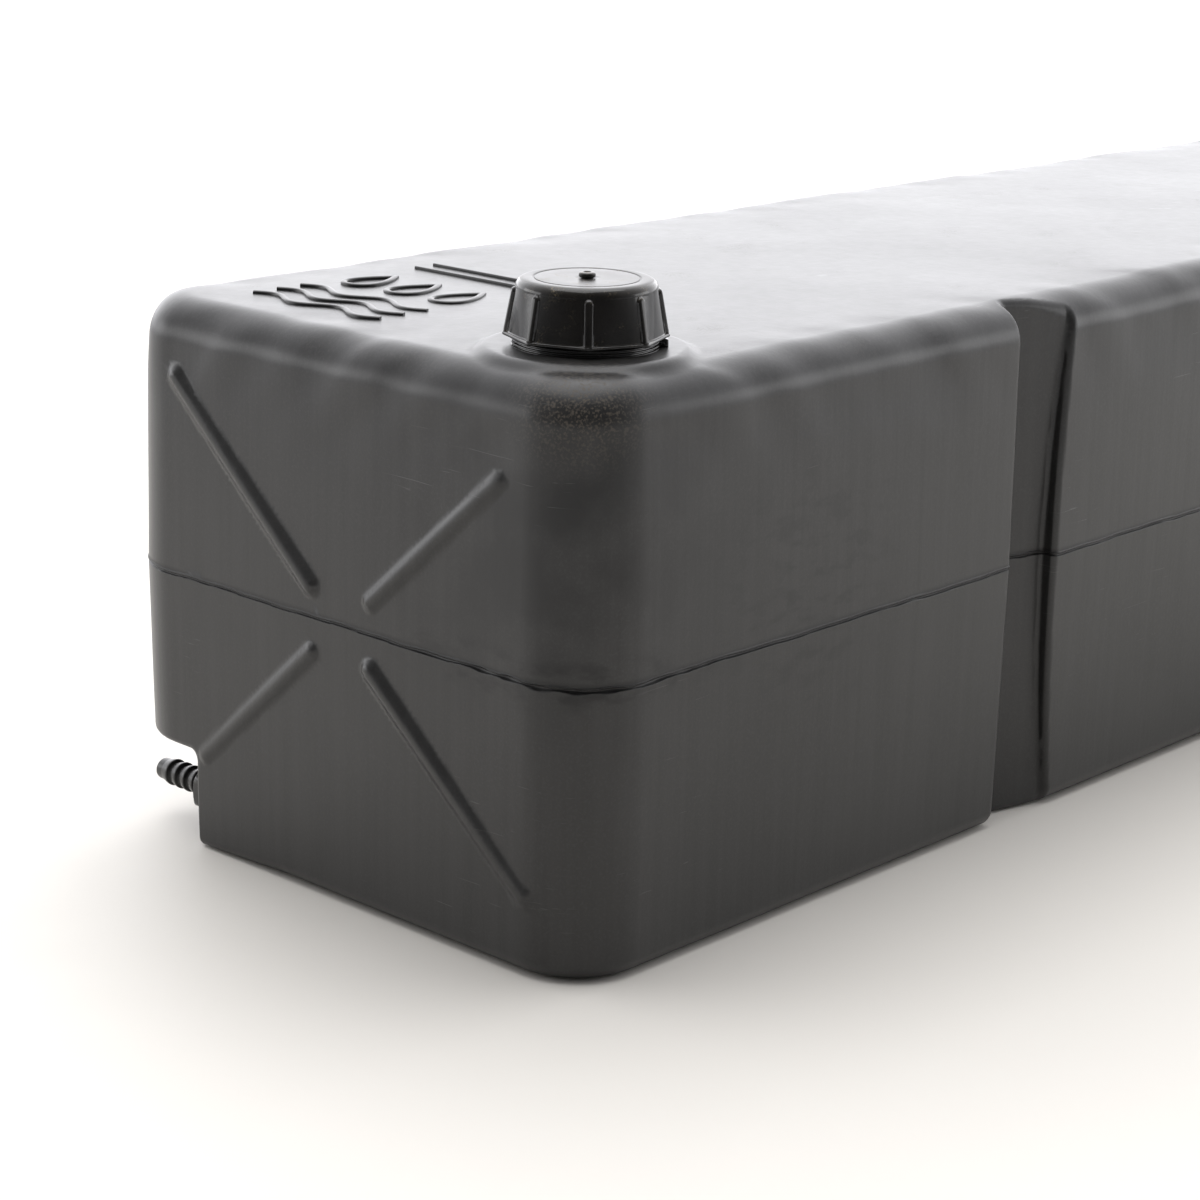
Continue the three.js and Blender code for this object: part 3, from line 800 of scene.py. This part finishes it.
def glossy_black(name, level, roughness, dust_colour, dust_share, matt_above=NO_MATT_TOP):
    """Injection-moulded black plastic with fine flow marks and dust on what faces up.
    Above the given height, in metres, it has a moulded matt texture."""
    n = Nodes(name)
    cloud = n.noise(60, 3)
    flow = n.noise(1, 3, stretch=(500, 500, 90), distortion=0.8)
    colour = n.mix(n.ramp(cloud, 0.3, 0.7), shade(level * 0.8), shade(level * 1.3, 0.02))
    facing = n.ramp(n.normal()[2], -0.1, 0.7, 0.15, 1.0)
    patch = n.ramp(n.noise(130, 5), 0.52, 0.72)
    speck = n.ramp(n.noise(1300, 3), 0.48, 0.68)
    film = n.times(facing, n.noise(45, 4), 0.12)
    dust = n.plus(n.times(facing, patch, speck), film)
    dust = n.math("MULTIPLY", dust, dust_share, clamp=True)
    colour = n.mix(dust, colour, dust_colour)
    rough = n.math("MULTIPLY_ADD", cloud, 0.10, roughness)
    rough = n.plus(rough, n.times(dust, 0.5), clamp=True)
    matt = n.ramp(n.axes()[2], matt_above - 0.0004, matt_above)
    rough = n.plus(rough, n.times(matt, 0.2), clamp=True)
    soft = n.bump(n.noise(180, 3), 0.00012, 0.4)
    fine = n.bump(flow, 0.00003, 0.5, soft)
    return n.surface(Base_Color=colour, Roughness=rough, Normal=fine, IOR=1.5)


def rubber():
    n = Nodes("seal_rubber")
    bloom = n.noise(140, 4)
    colour = n.mix(n.ramp(bloom, 0.35, 0.75), shade(0.012), shade(0.03, 0.03))
    rough = n.math("MULTIPLY_ADD", bloom, 0.2, 0.62)
    matt = n.bump(n.noise(1500, 2), 0.00004, 0.7)
    return n.surface(Base_Color=colour, Roughness=rough, Normal=matt)


def sintered():
    n = Nodes("vent_sinter")
    beads = n.add("TexVoronoi", Vector=n.place, Scale=2600).outputs["Distance"]
    colour = n.mix(n.ramp(beads, 0.1, 0.6), (0.42, 0.31, 0.18, 1), (0.16, 0.11, 0.06, 1))
    rough = n.math("MULTIPLY_ADD", beads, 0.2, 0.7)
    lumps = n.bump(beads, 0.00012, 0.8)
    return n.surface(Base_Color=colour, Roughness=rough, Normal=lumps)


def brass():
    n = Nodes("insert_brass")
    tarnish = n.noise(240, 5)
    turned_marks = n.noise(1, 2, stretch=(60, 2600, 60))
    colour = n.mix(n.ramp(tarnish, 0.4, 0.75), (0.62, 0.43, 0.17, 1), (0.26, 0.17, 0.08, 1))
    rough = n.math("MULTIPLY_ADD", tarnish, 0.3, 0.2)
    marks = n.bump(turned_marks, 0.00003, 0.6)
    return n.surface(Base_Color=colour, Roughness=rough, Normal=marks, Metallic=1.0)


DUST = (0.30, 0.24, 0.15, 1)
TANK_LOOK = tank_plastic()
NECK_LOOK = glossy_black("neck_plastic", 0.009, 0.12, DUST, 0.4)
CAP_LOOK = glossy_black("cap_plastic", 0.006, 0.07, DUST, 0.5, (CAP_TOP - 0.5) * MM)
BUTTON_LOOK = glossy_black("button_plastic", 0.03, 0.22, (0.5, 0.42, 0.3, 1), 1.0)
TAIL_LOOK = glossy_black("tail_plastic", 0.014, 0.26, shade(0.2, 0.05), 0.25)
RUBBER_LOOK = rubber()


# ---- Tank ----

def thinned(vertices, quads, most):
    """The same surface with fewer triangles, kept where it curves."""
    mesh = bpy.data.meshes.new("skin_work")
    mesh.from_pydata(vertices.tolist(), [], quads.tolist())
    mesh.validate()
    piece = new_object("skin_work", mesh, TANK_LOOK)
    modifier = piece.modifiers.new("thin", "DECIMATE")
    modifier.ratio = min(1, most / (2 * len(quads)))
    modifier.use_collapse_triangulate = True
    graph = bpy.context.evaluated_depsgraph_get()
    thin = bpy.data.meshes.new_from_object(piece.evaluated_get(graph))
    points = np.empty(len(thin.vertices) * 3)
    thin.vertices.foreach_get("co", points)
    corners = np.empty(len(thin.loops), dtype=np.int32)
    thin.loops.foreach_get("vertex_index", corners)
    bpy.data.objects.remove(piece)
    return points.reshape(-1, 3), corners.reshape(-1, 3)


def tank_outside():
    """The tank's outer skin, meshed finely and then thinned where it is flat."""
    xs = graded_lines(-503, 504, 11, 0.22, [
        (-501, -482, 1.7), (482, 501, 1.7), (-394, -382, 2.2), (-492, -386, 3.2),
        (-214, -206, 1.5), (-186, -160, 1.7), (206, 214, 1.5), (160, 186, 1.7),
    ])
    ys = graded_lines(-153, 154, 8, 0.22, [
        (-151, -131, 1.9), (131, 151, 1.9), (92, 101, 1.9), (-118, 108, 2.3),
    ])
    zs = graded_lines(-3, 258, 8, 0.22, [
        (-1, 8, 1.8), (40, 50, 1.9), (34, 222, 2.3), (246, 257, 1.5), (127.2, 131.2, 0.34),
    ])
    vertices, quads = surface_net(skin_shape, xs, ys, zs)
    vertices = settle(skin_shape, vertices, 3, 1.2)
    vertices, triangles = thinned(vertices, quads, SKIN_FACES)
    vertices = settle(skin_shape, vertices, 2, 0.5)
    middle = vertices[triangles].mean(axis=1)
    filler_floor = from_filler(middle) < FILLER_HOLE - 1
    filler_floor &= np.abs(middle[:, 2] - HEIGHT + WALL / 2) < 1
    outlet_floor = from_outlet(middle) < OUTLET_HOLE - 1
    outlet_floor &= np.abs(middle[:, 1] - NOTCH_WALL + OUTLET_HOLE_DEPTH) < 1
    return vertices, triangles[~(filler_floor | outlet_floor)]


def tank_inside():
    """The inner skin, which only shows down the filler neck."""
    xs = graded_lines(-500, 500, 14, 0.3, [
        (-499, -478, 5), (478, 499, 5), (-220, -156, 5), (156, 220, 5), (-470, -405, 4),
    ])
    ys = graded_lines(-150, 150, 12, 0.3, [(-148, -120, 5), (88, 148, 5), (-122, -56, 4)])
    zs = graded_lines(-2, 256, 12, 0.3, [(2, 56, 5), (240, 254, 2.5)])
    vertices, quads = surface_net(cavity_shape, xs, ys, zs)
    vertices = settle(cavity_shape, vertices, 3, 2.0)
    middle = vertices[quads].mean(axis=1)
    roof = (from_filler(middle) < FILLER_HOLE - 1) & (middle[:, 2] > HEIGHT - WALL)
    boss_end = from_outlet(middle) < OUTLET_HOLE - 1
    boss_end &= middle[:, 1] > NOTCH_WALL - BOSS_DEPTH - 2
    return vertices, quads[~(roof | boss_end)][:, ::-1]


def tank_skin():
    outer, outer_faces = tank_outside()
    inner, inner_faces = tank_inside()
    normals = unit(np.concatenate([gradient(skin_shape, outer), -gradient(cavity_shape, inner)]))
    vertices = np.concatenate([outer, inner])
    faces = outer_faces.tolist() + (inner_faces + len(outer)).tolist()
    mesh = bpy.data.meshes.new("tank_skin")
    mesh.from_pydata((vertices * MM).tolist(), [], faces)
    mesh.polygons.foreach_set("use_smooth", [True] * len(mesh.polygons))
    mesh.normals_split_custom_set_from_vertices(normals.tolist())
    return new_object("tank_skin", mesh, TANK_LOOK)


# ---- Emblem ----

def swept_line(builder, path, width, closed):
    """A raised line with rounded edges along a path of (u, v) points on the tank's top."""
    points = np.array(path, dtype=float)
    if closed:
        ahead = np.roll(points, -1, axis=0) - points
        behind = points - np.roll(points, 1, axis=0)
    else:
        step = np.diff(points, axis=0)
        ahead = np.vstack([step, step[-1:]])
        behind = np.vstack([step[:1], step])
    ahead = unit(ahead)
    tangent = unit(ahead + unit(behind))
    miter = 1 / np.maximum((tangent * ahead).sum(axis=1), 0.5)
    side = np.column_stack([-tangent[:, 1], tangent[:, 0]]) * miter[:, None]
    half = width / 2
    section = [(-half, -EMBLEM_SINK), (half, -EMBLEM_SINK), (half, 0.25 * EMBLEM_RISE)]
    for k in range(1, 8):
        angle = math.pi * k / 8
        section.append((half * math.cos(angle), EMBLEM_RISE * (0.3 + 0.7 * math.sin(angle))))
    section.append((-half, 0.25 * EMBLEM_RISE))
    rows = []
    for point, across in zip(points, side):
        row = []
        for off, height in section:
            u, v = point + off * across
            row.append((EMBLEM_X + v, EMBLEM_Y - u, HEIGHT + height))
        rows.append(row)
    if closed:
        builder.grid(rows, True)
    else:
        builder.bar(rows)


def drop_path(u, foot, radius):
    """The outline of a water drop that stands on (u, foot)."""
    tip = np.array([u, foot + 3.4 * radius])
    path = []
    for k in range(49):
        angle = math.pi + math.pi * k / 48
        path.append((u + radius * math.cos(angle), foot + radius + radius * math.sin(angle)))
    for start, knee, stop in (
        (np.array(path[-1]), np.array([u + radius, foot + 2 * radius]), tip),
        (tip, np.array([u - radius, foot + 2 * radius]), np.array(path[0])),
    ):
        for k in range(1, 13):
            t = k / 12
            path.append(tuple((1 - t) ** 2 * start + 2 * t * (1 - t) * knee + t * t * stop))
    return path[:-1]


def tank_emblem():
    builder = Builder()
    for middle in EMBLEM_WAVES:
        path = []
        for k in range(97):
            swing = EMBLEM_WAVE_HEIGHT * math.sin(4 * math.pi * k / 96)
            path.append((EMBLEM_LENGTH * (k / 96 - 0.5), middle + swing))
        swept_line(builder, path, EMBLEM_LINE, False)
    for middle in EMBLEM_DROPS:
        half = EMBLEM_LINE / 2
        path = drop_path(middle, EMBLEM_DROP_FOOT + half, EMBLEM_DROP_RADIUS - half)
        swept_line(builder, path, EMBLEM_LINE, True)
    for middle in EMBLEM_RULES:
        path = [(EMBLEM_LENGTH * (k / 12 - 0.5), middle) for k in range(13)]
        swept_line(builder, path, EMBLEM_LINE / 2, False)
    return builder.finish("tank_emblem", TANK_LOOK)


# ---- Neck, cap and vent ----

AT_FILLER = (FILLER_X, FILLER_Y, 0)


def filler_neck():
    builder = Builder()
    collar = []
    for k in range(COLLAR_RINGS):
        radius = COLLAR_GROOVE_RADIUS if k % 2 else COLLAR_RADIUS
        collar.append((radius, COLLAR_FOOT + k * COLLAR_RING_HEIGHT))
        collar.append((radius, COLLAR_FOOT + (k + 1) * COLLAR_RING_HEIGHT))
    profile = [
        (NECK_BORE, FLANGE_FOOT), (FLANGE_RADIUS, FLANGE_FOOT),
        (FLANGE_RADIUS, FLANGE_TOP), (NECK_WAIST, FLANGE_TOP),
        (NECK_WAIST, COLLAR_FOOT), *collar, (NECK_RADIUS, COLLAR_TOP),
        (NECK_RADIUS, NECK_TOP), (NECK_BORE, NECK_TOP),
    ]
    revolve(builder, soften(profile, 0.3, steps=2), 128, upright)
    thread_ridge(builder, NECK_RADIUS, NECK_THREAD_CREST, NECK_THREAD_START, NECK_THREAD_TURNS)
    collar_lug(builder)
    return builder.finish("neck", NECK_LOOK, AT_FILLER)


def collar_lug(builder):
    """A small block on the collar, with its upper and lower edges eased."""
    turn = math.radians(LUG_ANGLE)
    along = np.array([math.cos(turn), math.sin(turn)])
    across = np.array([-along[1], along[0]])
    outline = soften([
        (LUG_INNER, -LUG_HALF_WIDTH), (LUG_OUTER, -LUG_HALF_WIDTH),
        (LUG_OUTER, LUG_HALF_WIDTH), (LUG_INNER, LUG_HALF_WIDTH),
    ], LUG_CORNER)
    levels = [
        (0.4, COLLAR_FOOT), (0, COLLAR_FOOT + 0.4),
        (0, COLLAR_TOP - 0.5), (0.15, COLLAR_TOP - 0.15), (0.5, COLLAR_TOP),
    ]
    rows = []
    for inset, height in levels:
        row = []
        for u, v in outline:
            flat = along * (u - inset) + across * v * (1 - inset / LUG_HALF_WIDTH)
            row.append((flat[0], flat[1], height))
        rows.append(row)
    builder.bar(rows)


def cap_turns():
    """Angles round the cap, closer together at each rib."""
    near = [-RIB_ZONE, -2.2, -RIB_HALF_WIDTH, -1.75, -1.5, -1.15, -0.7, -0.25]
    near += [-off for off in reversed(near)]
    gap = RIB_PITCH - 2 * RIB_ZONE / CAP_FOOT
    turns = []
    for rib in range(RIBS):
        turns += [rib * RIB_PITCH + off / CAP_FOOT for off in near]
        turns += [rib * RIB_PITCH + RIB_ZONE / CAP_FOOT + gap * k / 8 for k in range(1, 8)]
    return turns


def off_rib(angle):
    """Angle to the nearest rib."""
    return (angle + RIB_PITCH / 2) % RIB_PITCH - RIB_PITCH / 2


def rib_rise(radius, height, angle):
    """How far a rib stands out of the cap's side, with a round upper end."""
    sideways = off_rib(angle) * radius
    past = max(height - RIB_TOP + RIB_HALF_WIDTH, 0)
    share = math.hypot(sideways, past) / RIB_HALF_WIDTH
    return RIB_HEIGHT * math.sqrt(max(1 - share ** 4, 0))


def straight_side(radius, angle):
    """Reach of an eight-sided outline, whose corners are at the ribs, from the cap's axis."""
    from_side = RIB_PITCH / 2 - abs(off_rib(angle))
    return radius * math.cos(RIB_PITCH / 2) / math.cos(from_side)


def rim_corner(radius, angle):
    """The eight-sided rim, with its corners eased."""
    return min(straight_side(radius, angle), radius - 0.2)


def cap_side(height, angle):
    """Radius of the cap's side: a circle at the top, flattened along the rim at the foot."""
    straight = straight_side(RIM_RADIUS - 0.5, angle)
    blend = max(1 - abs(straight - CAP_FOOT) / 2, 0)
    foot = min(straight, CAP_FOOT) - blend * blend / 2
    share = (height - CAP_FOOT_Z) / (CAP_SHOULDER_Z - CAP_FOOT_Z)
    return foot + (CAP_SHOULDER - foot) * max(share, 0)


def cap_outside():
    """Rows up the cap's outside, each as its kind, its radius or offset, and its height."""
    rim = ((0.6, 0), (0.2, 0.15), (0, 0.5), (0, 0.9), (0.15, 1.2), (0.45, 1.45), (0.9, 1.6))
    rows = [("rim", RIM_RADIUS - inset, CAP_RIM + rise) for inset, rise in rim]
    rows += [("side", 0.2, CAP_FOOT_Z - 0.25), ("side", 0, CAP_FOOT_Z)]
    rib_end = RIB_TOP - RIB_ZONE
    heights = [CAP_FOOT_Z + 0.4]
    heights += [*np.linspace(CAP_FOOT_Z + 1.1, rib_end - 0.6, 8)]
    heights += [*np.linspace(rib_end, CAP_SHOULDER_Z - 0.05, 10)]
    rows += [("side", 0, z) for z in heights]
    for k in range(12):
        angle = math.radians(4 + 84 * k / 11)
        radius = CAP_SHOULDER - CROWN_RADIUS + CROWN_RADIUS * math.cos(angle)
        rows.append(("crown", radius, CAP_SHOULDER_Z + CROWN_RADIUS * math.sin(angle)))
    return rows


def cap_face():
    """The cap's flat top, from the fine ring line in to the vent's hole."""
    line = ((0.9, 0), (0.5, 0.1), (0.25, 0.45), (-0.25, 0.45), (-0.5, 0.08), (-1, 0.04))
    rows = [(FACE_RADIUS + off, CAP_TOP - sink) for off, sink in line]
    rows += [(14, CAP_TOP - 0.1), (6, CAP_TOP - 0.14), (VENT_HOLE + 0.4, CAP_TOP - 0.15)]
    rows += [(VENT_HOLE + 0.1, CAP_TOP - 0.4), (VENT_HOLE, CAP_TOP - 0.8), (VENT_HOLE, SEAL_SEAT)]
    return rows


def cap_inside():
    """The seat of the seal and the bore down to the rim."""
    return [
        (SEAL_RADIUS + 0.3, SEAL_SEAT), (SEAL_RADIUS + 0.3, CAP_SHOULDER_Z + 1),
        (SEAL_RADIUS + 1, CAP_SHOULDER_Z), (CAP_BORE, CAP_BORE_TOP),
        (CAP_BORE, CAP_RIM + 1.2), (CAP_BORE + 0.8, CAP_RIM + 0.4), (CAP_BORE + 0.8, CAP_RIM),
    ]


def filler_cap():
    turns = cap_turns()
    rows = []
    for kind, radius, z in cap_outside():
        row = []
        for turn in turns:
            reach = radius
            if kind == "rim":
                reach = rim_corner(radius, turn)
            elif kind == "side":
                side = cap_side(z, turn)
                reach = side + radius + rib_rise(side, z, turn)
                reach = min(reach, rim_corner(RIM_RADIUS, turn) - 0.1)
            row.append(upright(reach, z, turn))
        rows.append(row)
    for radius, z in cap_face() + cap_inside():
        rows.append([upright(radius, z, turn) for turn in turns])
    builder = Builder()
    builder.grid(rows, True)
    thread_ridge(builder, CAP_BORE, CAP_THREAD_CREST, CAP_THREAD_START, CAP_THREAD_TURNS)
    return builder.finish("cap", CAP_LOOK, AT_FILLER, sharp=50)


def vent_button():
    builder = Builder()
    foot = CAP_TOP + 0.3
    top = foot + BUTTON_HEIGHT
    edge_foot = top - 0.9
    profile = [
        (VENT_BORE, VENT_STEM_FOOT), (VENT_STEM_RADIUS, VENT_STEM_FOOT),
        (VENT_STEM_RADIUS, foot), (BUTTON_RADIUS, foot), (BUTTON_RADIUS, edge_foot),
    ]
    for k in range(1, 7):
        angle = math.pi / 2 * k / 7
        radius = BUTTON_RADIUS - BUTTON_EDGE * (1 - math.cos(angle))
        profile.append((radius, edge_foot + BUTTON_EDGE * math.sin(angle)))
    profile += [(VENT_STEM_RADIUS, top - 0.08), (VENT_BORE + 0.3, top), (VENT_BORE, top - 0.15)]
    revolve(builder, soften(profile, 0.12, steps=2), 64, upright)
    return builder.finish("vent_button", BUTTON_LOOK, AT_FILLER)


# ---- Outlet ----

def hex_reach(distance, angle):
    """Radius of the hexagon at one place, with the corners chamfered at both ends."""
    pitch = math.pi / 3
    from_corner = (angle + pitch / 2) % pitch - pitch / 2
    flat = HEX_ACROSS_FLATS / 2 / math.cos(pitch / 2 - abs(from_corner))
    from_end = min(distance - HEX_START, HEX_END - distance)
    chamfer = HEX_ACROSS_FLATS / 2 + 0.2 + HEX_CHAMFER_RISE * from_end
    return min(flat, chamfer, HEX_CORNER_RADIUS)


def hose_tail():
    builder = Builder()
    tail = [
        (WATERWAY, SHANK_START), (SHANK_RADIUS - 0.8, SHANK_START),
        (SHANK_RADIUS, SHANK_START + 0.8), (SHANK_RADIUS, SHANK_END), (STEM_RADIUS, SHANK_END),
    ]
    first = TIP_END - TIP_LENGTH - BARBS * BARB_PITCH
    for barb in range(BARBS):
        start = first + barb * BARB_PITCH
        tail += [
            (STEM_RADIUS, start), (BARB_RADIUS, start + 0.5),
            (BARB_RADIUS, start + 1.5), (STEM_RADIUS + 0.2, start + BARB_PITCH - 0.6),
        ]
    tail += [(STEM_RADIUS, TIP_END - 0.8), (TIP_RADIUS, TIP_END), (WATERWAY, TIP_END)]
    revolve(builder, soften(tail, 0.35), 96, outward)

    middle = (HEX_START + HEX_END) / 2
    chamfer = (0, 0.12, 0.4, 0.8)
    sides = [HEX_START + step for step in chamfer] + [middle]
    sides += [HEX_END - step for step in reversed(chamfer)]
    turns = full_turn(120)
    rows = []
    for radius, distance in (
        (SHANK_RADIUS - 0.4, HEX_START), (HEX_FACE_RADIUS, HEX_START),
        *[(None, side) for side in sides],
        (HEX_FACE_RADIUS + 0.4, HEX_END), (HEX_FACE_RADIUS, HEX_END - 0.25),
        (STEM_RADIUS + 1.2, HEX_END - 0.25),
        (HEX_BORE, HEX_END - 0.6), (HEX_BORE, HEX_START + 0.6),
    ):
        row = []
        for turn in turns:
            reach = radius or hex_reach(distance, turn)
            row.append(outward(reach, distance, turn))
        rows.append(row)
    builder.grid(rows, True)
    return builder.finish("hose_tail", TAIL_LOOK, (OUTLET_X, NOTCH_WALL, OUTLET_Z), sharp=35)


# ---- Assembly ----

def place(piece, body, slot, *nodes):
    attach(piece, body)
    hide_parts(*nodes)


skin = tank_skin()
emblem = tank_emblem()
for part in (skin, emblem):
    place(part, "tank", "tank_plastic", "tank_shell")
place(filler_neck(), "tank", "neck_plastic", "filler_neck")
place(filler_cap(), "cap", "cap_plastic", "filler_cap")
place(vent_button(), "cap", "cap_plastic", "vent_plug")
place(hose_tail(), "tank", "tail_plastic", "outlet_hose_tail")

CARRIED = {
    "outlet_insert": brass(),
    "outlet_o_ring": RUBBER_LOOK,
    "cap_seal": RUBBER_LOOK,
    "vent_filter": sintered(),
}
for name, look in CARRIED.items():
    for material_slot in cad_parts[name].material_slots:
        material_slot.material = look


# ---- Studio ----

ROOM_FRONT = 0.08  # brightness of the room on the camera's side
ROOM_BACK = 3.3
ROOM_FALL = 2.1
ROOM_TINT = (0.97, 0.97, 1.0, 1)
TO_THE_BACK = (0.733, 0.680, 0.0)
FLOOR_DROP = 0.05  # mm, to clear the tank's underside
FILLER_END = (-0.44, -0.09, 0.25)
CAMERA_AT = (-1.2901, -0.8904, 0.4869)
CAMERA_FORWARD = (0.70396, 0.65298, -0.27939)
CAMERA_UP = (0.19033, 0.20556, 0.95996)
CAMERA_LENS = 86.46


def floor_material():
    """A pale, slightly warm sheet, darker near the object with painted shade, turning white away
    from it.
    """
    n = Nodes("studio_floor")
    # Painted shade: greyer and warmer near the object, white far from it.
    away = n.ramp(n.distance((0, 0, 0)), 1.0, 2.6)
    colour = n.mix(away, (0.85, 0.82, 0.765, 1), (0.9, 0.9, 0.9, 1))
    rough = n.math("MULTIPLY_ADD", n.noise(30, 3), 0.1, 0.55)
    fine = n.bump(n.noise(260, 3), 0.0001, 0.3)
    return n.surface(Base_Color=colour, Roughness=rough, Normal=fine)


def studio_floor():
    builder = Builder()
    turns = full_turn(96)
    rings = (200, 600, 1200, 2400, 5000, 9000)
    rows = [[upright(r, 0, turn) for turn in turns] for r in rings]
    builder.grid(rows, False)
    builder.close(rows[0], False)
    floor = builder.finish("studio_floor", floor_material(), (0, 0, -FLOOR_DROP))


def studio_world():
    """A white room that grows brighter from the camera's side to behind the tank."""
    world = bpy.data.worlds.new("studio")
    world.use_nodes = True
    bpy.context.scene.world = world
    tree = world.node_tree
    background = tree.nodes["Background"]
    background.inputs["Color"].default_value = ROOM_TINT
    source = tree.nodes.new("ShaderNodeTexCoord").outputs["Generated"]
    behind = tree.nodes.new("ShaderNodeVectorMath")
    behind.operation = "DOT_PRODUCT"
    behind.inputs[1].default_value = TO_THE_BACK
    tree.links.new(source, behind.inputs[0])
    source = behind.outputs["Value"]
    for operation, first, second in (
        ("MULTIPLY_ADD", 0.5, 0.5),
        ("POWER", ROOM_FALL, 0.0),
        ("MULTIPLY_ADD", ROOM_BACK - ROOM_FRONT, ROOM_FRONT),
    ):
        node = tree.nodes.new("ShaderNodeMath")
        node.operation = operation
        tree.links.new(source, node.inputs[0])
        node.inputs[1].default_value = first
        node.inputs[2].default_value = second
        source = node.outputs[0]
    tree.links.new(source, background.inputs["Strength"])


def area_light(name, at, target, width, height, power):
    light = bpy.data.lights.new(name, "AREA")
    light.shape = "RECTANGLE"
    light.size = width
    light.size_y = height
    light.energy = power
    lamp = bpy.data.objects.new(name, light)
    lamp.location = at
    aim = Vector(target) - Vector(at)
    lamp.rotation_euler = aim.to_track_quat("-Z", "Y").to_euler()
    bpy.context.collection.objects.link(lamp)


def studio_camera():
    forward = Vector(CAMERA_FORWARD).normalized()
    right = forward.cross(Vector(CAMERA_UP)).normalized()
    up = right.cross(forward)
    data = bpy.data.cameras.new("camera")
    data.sensor_width = 36
    data.lens = CAMERA_LENS
    data.clip_start = 0.05
    data.clip_end = 50
    camera = bpy.data.objects.new("camera", data)
    camera.matrix_world = Matrix((
        (right.x, up.x, -forward.x, CAMERA_AT[0]),
        (right.y, up.y, -forward.y, CAMERA_AT[1]),
        (right.z, up.z, -forward.z, CAMERA_AT[2]),
        (0, 0, 0, 1),
    ))
    bpy.context.collection.objects.link(camera)
    bpy.context.scene.camera = camera


studio_floor()
studio_world()
area_light("overhead", (-0.2, 0.2, 2.6), (-0.2, 0, 0), 2.4, 2.0, 33)
area_light("left_panel", (-1.85, 2.0, 0.62), FILLER_END, 1.9, 0.7, 9)
area_light("right_panel", (1.55, -1.6, 0.62), FILLER_END, 1.7, 0.7, 6.5)
studio_camera()
bpy.context.scene.view_settings.view_transform = "Standard"
